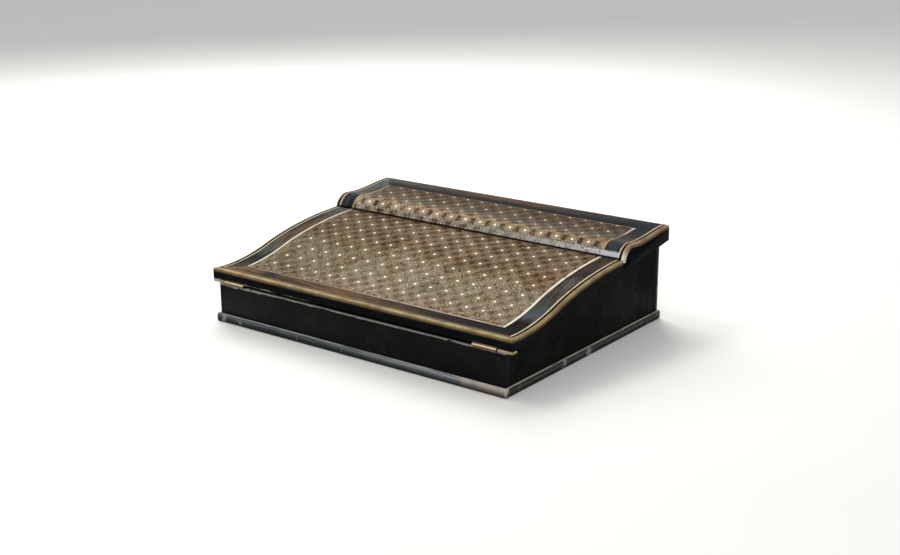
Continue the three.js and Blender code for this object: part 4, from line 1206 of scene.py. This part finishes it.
@dataclass
class Boards:
    """The two shaped boards of the top, the strips under the flap's corners and the leather inside."""

    wood: EbonisedWood = EbonisedWood("ebonised wood, polished top", gloss=0.015, roughness=0.4,
                                      ground="#060709", cloud="#101115", rubs=0.3)
    strip: Finish = SawnBone("bone slip, browned")
    leather: Finish = TooledLeather("skiver leather, gilt tooled", "flap_lining")

    def build(self) -> None:
        """Builds the boards, the strips and the lining."""
        wood = self.wood
        flap = ChippedArris("ebonised wood of the flap", wood.ground, wood.cloud, rubs=wood.rubs,
                            gloss=wood.gloss, roughness=wood.roughness, arris="#7c7d78",
                            height=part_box("flap_board")[0].z / MM, strip=1.3, span=(-70.0, -25.0), kept=0.0)
        Softened("flap_board", "flap", "ebonised_wood", flap, 0.5, 20.0).build()
        Softened("lid_board", "rear_lid", "ebonised_wood", wood, 0.5, 20.0).build()
        for side in SIDES:
            Softened(f"flap_strip_{side}", "flap", "bone", self.strip, 0.5, 3.0).build()
        Softened("flap_lining", "flap", "leather", self.leather, 0.3).build()


@dataclass
class Inkwells:
    """The two glass inkwells with their turned brass caps, whose profile runs in radius and height."""

    glass: Finish = PressedGlass("pressed glass, green cast")
    brass: Finish = Brass("turned brass, handled", dullness=0.35)
    profile: tuple[Place, ...] = (
        (0.0, -4.0), (16.4, -4.0), (16.7, -3.6), (16.7, 0.0), (20.2, 0.0), (20.5, 0.4), (20.5, 2.2),
        (20.1, 2.8), (19.3, 3.0), (18.9, 3.5), (16.8, 4.4), (13.0, 5.0), (8.0, 5.4), (4.2, 5.8),
        (2.5, 6.6), (2.2, 7.8), (3.2, 9.0), (4.3, 10.2), (4.5, 11.4), (4.1, 12.8), (2.9, 13.7), (0.0, 14.0))

    def cap(self) -> Piece:
        """Turns a cap: its section is drawn point by point from one corner of a small plane, and spun."""
        bpy.ops.mesh.primitive_plane_add(size=2 * MM, location=(0, 0, 0))
        cap = bpy.context.active_object
        open_up(cap)
        pick(cap, Element.POINT, lambda point: point.index > 0)
        bpy.ops.mesh.delete(type="VERT")
        pick(cap, Element.POINT, lambda point: True)
        radius, height = self.profile[0]
        bpy.ops.transform.translate(value=((radius + 1) * MM, 1 * MM, height * MM))
        for (r0, z0), (r1, z1) in zip(self.profile, self.profile[1:]):
            extrude(r1 - r0, 0, z1 - z0)
        bpy.ops.mesh.select_all(action="SELECT")
        bpy.ops.mesh.spin(steps=48, angle=math.tau, center=(0, 0, 0), axis=(0, 0, 1))
        bpy.ops.mesh.select_all(action="SELECT")
        bpy.ops.mesh.remove_doubles(threshold=0.01 * MM)
        bpy.ops.mesh.normals_make_consistent(inside=False)
        close_up()
        return settle(cap, "cap_pattern")

    def build(self) -> None:
        """Builds both inkwells and both caps."""
        pattern = self.cap()
        for side in SIDES:
            Softened(f"inkwell_{side}", "case", "glass", self.glass, 1.2, 30.0).build()
            low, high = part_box(f"inkwell_cap_{side}")
            middle = (low + high) / 2
            cap = copied(pattern, f"inkwell_cap_{side}_turned")
            cap.location = (middle.x, middle.y, low.z - self.profile[0][1] * MM)
            settle(cap, cap.name)
            smooth(cap, 50.0)
            finish_piece(cap, f"{side}_cap", [f"inkwell_cap_{side}"], self.brass.make())
        bpy.data.objects.remove(pattern)


# Hinges and screws


@dataclass
class Hinges:
    """Four brass butt hinges with their pins and slotted screws, in millimetres.

    The case leaf of a rear hinge faces backward, face_gap in front of the pin's axis. Its lid leaf
    faces down, leaf_rise above that axis, and follows the lid's underside, which rises backward by
    lid_slope. The screws stand screw_rise above the foot of the case leaf, and screw_reach in front
    of the axis on the lid, a little proud of the brass.
    """

    front: Finish = Brass("drawn brass, rubbed pale", bright="#dac9a8", dull="#ae9974", red="#a88b6e",
                          under="#54432f", dullness=0.3, roughness=0.45)
    brass: Finish = Brass("drawn brass, clean", bright="#b09a6c", dull="#806943", dullness=0.5,
                          roughness=0.4, shade_below=0.0)
    driven: Finish = Brass("turned brass screws, dull", bright="#8c7848", dull="#5e4c2e", dullness=0.6,
                           roughness=0.4, shade_below=0.0)
    head: float = 1.9
    neck: float = 0.9
    head_height: float = 0.9
    length: float = 7.0
    slot_width: float = 0.5
    slot_depth: float = 0.45
    spacing: float = 18.0
    proud: float = 0.08
    lid_slope: float = 0.1326
    leaf_rise: float = 2.1
    face_gap: float = 0.1
    screw_rise: float = 5.2
    screw_reach: float = 6.2
    turns: tuple[float, ...] = (12.0, 71.0, 38.0, 95.0, 150.0, 22.0, 64.0, 118.0,
                                5.0, 83.0, 131.0, 47.0, 102.0, 29.0, 76.0, 160.0)

    def screw(self) -> Piece:
        """Makes a countersunk screw with a slot, its head up at the origin and its tip down."""
        depth = self.head_height * MM
        bpy.ops.mesh.primitive_cylinder_add(vertices=24, radius=self.head * MM, depth=depth,
                                            location=(0, 0, -depth / 2))
        screw = settle(bpy.context.active_object, "screw_pattern")
        open_up(screw)
        pick(screw, Element.FACE, lambda face: face.normal.z < -0.9)
        ratio = self.neck / self.head
        bpy.ops.transform.resize(value=(ratio, ratio, 1))
        shank = self.length - self.head_height
        extrude(0, 0, -0.8 * shank)
        extrude(0, 0, -0.2 * shank)
        bpy.ops.transform.resize(value=(0.25, 0.25, 1))
        pick(screw, Element.EDGE, lambda edge: all(point.co.z > -0.01 * MM for point in edge.verts))
        bpy.ops.mesh.bevel(offset=0.15 * MM, segments=2, affect="EDGES")
        half = self.slot_width / 2 * MM
        for side in (-1, 1):
            pick(screw, Element.FACE, lambda face: face.normal.z > 0.99)
            bpy.ops.mesh.bisect(plane_co=(0, side * half, 0), plane_no=(0, 1, 0))
        pick(screw, Element.FACE,
             lambda face: face.normal.z > 0.99 and abs(face.calc_center_median().y) < half)
        extrude(0, 0, -self.slot_depth)
        close_up()
        smooth(screw, 35.0)
        return screw

    def set_screw(self, pattern: Piece, name: str, body: str, nodes: Sequence[str],
                  place: Vector, way: Vector, turn: float) -> None:
        """Copies the screw to a place.

        Args:
            pattern: the screw.
            name: the copy's name.
            body: the body that it rides on.
            nodes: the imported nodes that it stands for.
            place: the middle of its head.
            way: where the head faces.
            turn: how far the slot is turned, in degrees.
        """
        screw = copied(pattern, name)
        facing = way.to_track_quat("Z", "Y").to_matrix().to_4x4()
        screw.matrix_world = Matrix.Translation(place) @ facing @ Matrix.Rotation(math.radians(turn), 4, "Z")
        settle(screw, name)
        finish_piece(screw, body, nodes, self.driven.make())

    def build(self) -> None:
        """Builds the leaves, the pins and the screws."""
        pattern = self.screw()
        turns = iter(self.turns)
        for side in SIDES:
            for hinge, body, brass in (("flap", "flap", self.front), ("lid", "rear_lid", self.brass)):
                Softened(f"{hinge}_hinge_case_leaf_{side}", "case", "brass", brass, 0.15, 8.0).build()
                Softened(f"{hinge}_hinge_{hinge}_leaf_{side}", body, "brass", brass, 0.15, 8.0).build()
                Softened(f"{hinge}_hinge_pin_{side}", "case", "brass", brass, 0.2, 0.1).build()
            for body, way in (("case", 1), ("flap", -1)):
                for index in (1, 2):
                    node = f"{body}_screw_{side}_{index}"
                    low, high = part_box(node)
                    place = (low + high) / 2
                    place.z = high.z if way > 0 else low.z
                    self.set_screw(pattern, f"{node}_slotted", body, [node], place, Vector((0, 0, way)),
                                   next(turns))
            self.rear_screws(pattern, side, turns)
        bpy.data.objects.remove(pattern)

    def rear_screws(self, pattern: Piece, side: str, turns: Iterator[float]) -> None:
        """Puts two screws in each leaf of a rear hinge."""
        lower_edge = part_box(f"lid_hinge_case_leaf_{side}")[0].z
        pin_low, pin_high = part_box(f"lid_hinge_pin_{side}")
        axis = (pin_low + pin_high) / 2
        tilt = math.atan(self.lid_slope)
        down = Vector((0, math.sin(tilt), -math.cos(tilt)))
        along = Vector((0, math.cos(tilt), math.sin(tilt)))
        on_lid = axis - along * self.screw_reach * MM - down * (self.leaf_rise - self.proud) * MM
        case_face = axis.y - (self.face_gap - self.proud) * MM
        on_case = Vector((axis.x, case_face, lower_edge + self.screw_rise * MM))
        for index in (1, 2):
            shift = Vector(((index - 1.5) * self.spacing * MM, 0, 0))
            for body, word, place, way in (("case", "case", on_case, Vector((0, 1, 0))),
                                           ("rear_lid", "lid", on_lid, down)):
                self.set_screw(pattern, f"rear_{word}_screw_{side}_{index}", body, [], place + shift, way,
                               next(turns))


# The studio


@dataclass
class Studio:
    """The camera, the lamps, the floor and the pale surroundings."""

    azimuth: float = 0.651397
    elevation: float = 0.297384
    roll: float = -0.00559934
    distance: float = 1.658223
    target: tuple[float, float, float] = (0.036885, -0.026987, 0.0675)
    lens: float = 55.093
    floor_size: float = 40.0
    world_light: float = 0.55

    def camera(self) -> None:
        """Stands the camera where the photograph was taken from."""
        a, e = self.azimuth, self.elevation
        back = Vector((math.sin(a) * math.cos(e), -math.cos(a) * math.cos(e), math.sin(e)))
        right = Vector((math.cos(a), math.sin(a), 0.0))
        up = back.cross(right)
        c, s = math.cos(self.roll), math.sin(self.roll)
        right, up = c * right + s * up, -s * right + c * up
        data = bpy.data.cameras.new("camera")
        data.lens = self.lens
        data.sensor_width = 36.0
        data.clip_end = 100.0
        camera = bpy.data.objects.new("camera", data)
        bpy.context.scene.collection.objects.link(camera)
        turn = Matrix((right, up, back)).transposed().to_4x4()
        camera.matrix_world = Matrix.Translation(Vector(self.target) + back * self.distance) @ turn
        bpy.context.scene.camera = camera

    def lamp(self, name: str, place: Sequence[float], size: float, power: float,
             colour: Sequence[float], mirrored: bool = True) -> None:
        """Hangs a soft lamp that faces the box.

        Args:
            name: its name.
            place: where it hangs, in metres.
            size: the side of its square face.
            power: its power in watts.
            colour: its colour.
            mirrored: whether polish and metal show it.
        """
        data = bpy.data.lights.new(name, "AREA")
        data.shape = "SQUARE"
        data.size = size
        data.energy = power
        data.color = colour
        lamp = bpy.data.objects.new(name, data)
        bpy.context.scene.collection.objects.link(lamp)
        lamp.location = place
        lamp.visible_glossy = mirrored
        lamp.rotation_mode = "QUATERNION"
        lamp.rotation_quaternion = (Vector(place) - Vector((0, 0, 0.06))).to_track_quat("Z", "Y")

    def surroundings(self) -> None:
        """Lights the box from all around, and shows white to the camera and in what mirrors."""
        world = bpy.data.worlds.new("studio")
        bpy.context.scene.world = world
        world.use_nodes = True
        world.node_tree.nodes.clear()
        graph = Graph(world.node_tree)
        rays = graph.add("LightPath").outputs
        seen = rays["Is Camera Ray"]
        for ray in ("Is Glossy Ray", "Is Transmission Ray"):
            seen = graph.math("MAXIMUM", seen, rays[ray])
        plain = graph.add("Background", "#ffffff", self.world_light)
        white = graph.add("Background", "#ffffff", 1.0)
        graph.add("OutputWorld", graph.add("MixShader", seen, plain, white))

    def build(self) -> None:
        """Sets up the whole studio."""
        bpy.context.scene.view_settings.view_transform = "Standard"
        self.camera()
        self.lamp("rear softbox", (-1.15, 0.95, 1.5), 1.5, 38.0, (1.0, 0.98, 0.95), False)
        self.lamp("front softbox", (0.9, -1.7, 1.3), 1.2, 11.0, (1.0, 0.99, 0.98))
        self.lamp("overhead softbox", (-1.2, -0.2, 1.7), 0.5, 9.0, (1.0, 0.98, 0.94))
        self.surroundings()
        bpy.ops.mesh.primitive_plane_add(size=self.floor_size, location=(0, 0, 0))
        floor = settle(bpy.context.active_object, "floor")
        floor.data.materials.append(PaleCard("white card").make())


FLAP_LINE = Ogee((
    ((0.0, 67.9), (30.0, 65.41), (62.0, 70.2), (92.0, 79.8)),
    ((92.0, 79.8), (122.0, 89.4), (170.6, 98.632), (226.6, 100.2)),
), 34)
LID_LINE = Ogee((
    ((227.4, 97.0), (227.4, 106.0), (237.0, 117.1), (250.0, 115.8)),
    ((250.0, 115.8), (282.0, 112.6), (304.0, 119.808), (336.0, 120.0)),
), 26)
FLAP_RINGS = (0.0, 6.5, 8.1, 9.7, 27.7, 30.1)
LID_RINGS = (0.0, 0.0, 1.2, 3.0, 30.0, 32.0)

BEAD = Brass("brass bead, tarnished")

FLAP_FINISHES: dict[str, Finish] = {
    "mosaic": StarMosaic(
        "star mosaic of the flap", wash=(0.96, 0.99, 1.1),
        # The pale middle stops are a painted sheen on the slope; the browner stops above are its tint.
        bands=((0.12, "#efe6da"), (0.3, "#f6f7f3"), (0.44, "#f1f4f2"), (0.52, "#ebe6dc"), (0.62, "#d8c8b4"),
               (1.0, "#cbbeae")),
        leaves=((0.0, "#dcdcdc"), (0.24, "#d4d4d4"), (0.32, "#9c9c9c"), (0.5, "#a4a4a4"), (0.62, "#f4f4f4"),
                (1.0, "#f8f8f8")),
        sides=((0.0, "#dadbd1"), (0.25, "#e6e7e0"), (0.45, "#ffffff"), (1.0, "#fbf8f6"))),
    **dict.fromkeys(("bead_end", "bead_left", "bead_right"), BEAD),
    "outer_line_end": InlayLine("brown line", ((0.0, "#7d6148"), (1.0, "#5f4a37")), Lay.ACROSS, WIDTH),
    "outer_line_left": InlayLine("cream line, left", ((0.0, "#b3a690"), (1.0, "#a59a86"))),
    "outer_line_right": InlayLine("cream line", ((0.0, "#c8b79e"), (1.0, "#bca487")), stained="#8a6a4e"),
    "border_end": StreakedVeneer("rosewood veneer of the flap's front", (
        (0.0, "#7a5c3c"), (0.12, "#694b30"), (0.17, "#141713"), (0.23, "#54402a"), (0.45, "#5f482f"),
        (0.6, "#483b29"), (0.74, "#2a251c"), (0.86, "#15150f"), (1.0, "#0f1110"))),
    # The lighter grey stop about a third of the way up is a painted reflection.
    "border_left": StreakedVeneer("slate veneer, flap left", (
        (0.0, "#33362f"), (0.1, "#383a33"), (0.25, "#1f2322"), (0.35, "#50534c"), (0.48, "#52453a"),
        (0.75, "#534434"), (0.9, "#42453f"), (1.0, "#4a4e45")), Lay.BACKWARD, FLAP_SPAN),
    # The lighter grey stops are painted reflections of the lamps along the border.
    "border_right": StreakedVeneer("slate veneer, flap right", (
        (0.08, "#12110e"), (0.21, "#1a1915"), (0.28, "#53575a"), (0.36, "#41443f"), (0.5, "#443f38"),
        (0.62, "#635e57"), (0.74, "#524138"), (0.92, "#42352b"), (1.0, "#37322e")), Lay.BACKWARD, FLAP_SPAN),
    "inner_line_end": InlayLine("pink line", (
        (0.0, "#6f5f4d"), (0.42, "#7a6856"), (0.55, "#9d8774"), (1.0, "#c0a897")),
        Lay.ACROSS, WIDTH, "#5d4838"),
    "inner_line_left": InlayLine("bone line, left", ((0.12, "#8d8068"), (0.17, "#cdc3ae"), (1.0, "#b8ad96"))),
    "inner_line_right": InlayLine("bone line", ((0.0, "#e6ddcc"), (1.0, "#d3c7b1")), dirt=0.2),
}

LID_FINISHES: dict[str, Finish] = {
    **FLAP_FINISHES,
    "mosaic": StarMosaic(
        "star mosaic of the lid", 18.4, 87.0, wash=(1.3, 1.46, 1.85), foot=True,
        # The pale first stops are a painted reflection on the roll; the browner stops behind are its tint.
        bands=((0.06, "#f4f0f6"), (0.16, "#f9f2e8"), (0.3, "#ead6b9"), (0.38, "#b39b7a"), (0.46, "#918165"),
               (0.88, "#897a5e"), (1.0, "#875f3e")),
        leaves=((0.0, "#9c9c9c"), (0.12, "#ffffff")),
        sides=((0.0, "#ffffff"), (0.6, "#f4f3f1"), (1.0, "#e6e4e1")),
        glints=((0.34, "#ffffff"), (0.42, "#e0e0e0"))),
    # Its foot is rubbed bare and painted pale as a reflection.
    "bead_right": Brass("brass bead, rubbed at its foot", bright="#a18663", dull="#7f684b", red="#845d4a",
                        rubbed_glint_below=112.0),
    "outer_line_left": InlayLine("cream line, lid left", (
        (0.0, "#d8ccb2"), (0.3, "#a8957a"), (1.0, "#8f8878")), span=LID_SPAN, foot=True),
    "outer_line_right": InlayLine("cream line, lid right", (
        (0.0, "#d6c3a8"), (0.3, "#a9906e"), (1.0, "#b9ad99")), span=LID_SPAN, foot=True),
    "border_end": StreakedVeneer("rosewood veneer of the lid", (
        (0.0, "#41463f"), (0.2, "#40382f"), (0.4, "#503b2c"), (0.6, "#46372b"), (0.75, "#2d2f2a"),
        (0.9, "#202627"), (1.0, "#181d1f")), inner=(98.0, 105.0)),
    "border_left": StreakedVeneer("slate veneer, lid left", (
        (0.05, "#333e40"), (0.22, "#2c3233"), (0.35, "#4f3c32"), (0.6, "#474f47"), (1.0, "#525b53")),
        Lay.BACKWARD, LID_SPAN, foot=True),
    # The bluish first stops are a painted reflection on the roll's foot.
    "border_right": StreakedVeneer("slate veneer, lid right", (
        (0.05, "#3a4149"), (0.2, "#343a3f"), (0.32, "#3c3530"), (0.7, "#1d2529"), (1.0, "#1c2124")),
        Lay.BACKWARD, LID_SPAN, foot=True),
    "inner_line_end": InlayLine("orange line", (
        (0.0, "#42382c"), (0.3, "#5a4029"), (0.6, "#644a33"), (0.85, "#5f5344"), (1.0, "#7d7163")),
        Lay.ACROSS, WIDTH, "#4a3424", 0.6),
    "inner_line_left": InlayLine("khaki line, left", (
        (0.08, "#a8977a"), (0.3, "#85755a"), (1.0, "#6b6355")), span=LID_SPAN, stained="#55432e", foot=True),
    "inner_line_right": InlayLine("khaki line", (
        (0.08, "#b09363"), (0.26, "#957750"), (0.36, "#54473a"), (0.5, "#6b604f"), (0.62, "#b5aa97"),
        (1.0, "#cbc0ae")), span=LID_SPAN, stained="#66543f", foot=True),
}


def main() -> None:
    """Builds the studio and the box in order."""
    logging.basicConfig(level=logging.INFO, format="%(name)s: %(message)s")
    Studio().build()
    Carcase().build()
    Boards().build()
    InlaidTop("flap", "flap", FLAP_LINE, 0.0, "front", FLAP_RINGS, FLAP_FINISHES).build()
    InlaidTop("lid", "rear_lid", LID_LINE, 336.0, "rear", LID_RINGS, LID_FINISHES).build()
    Inkwells().build()
    Hinges().build()


if __name__ == "__main__":
    main()
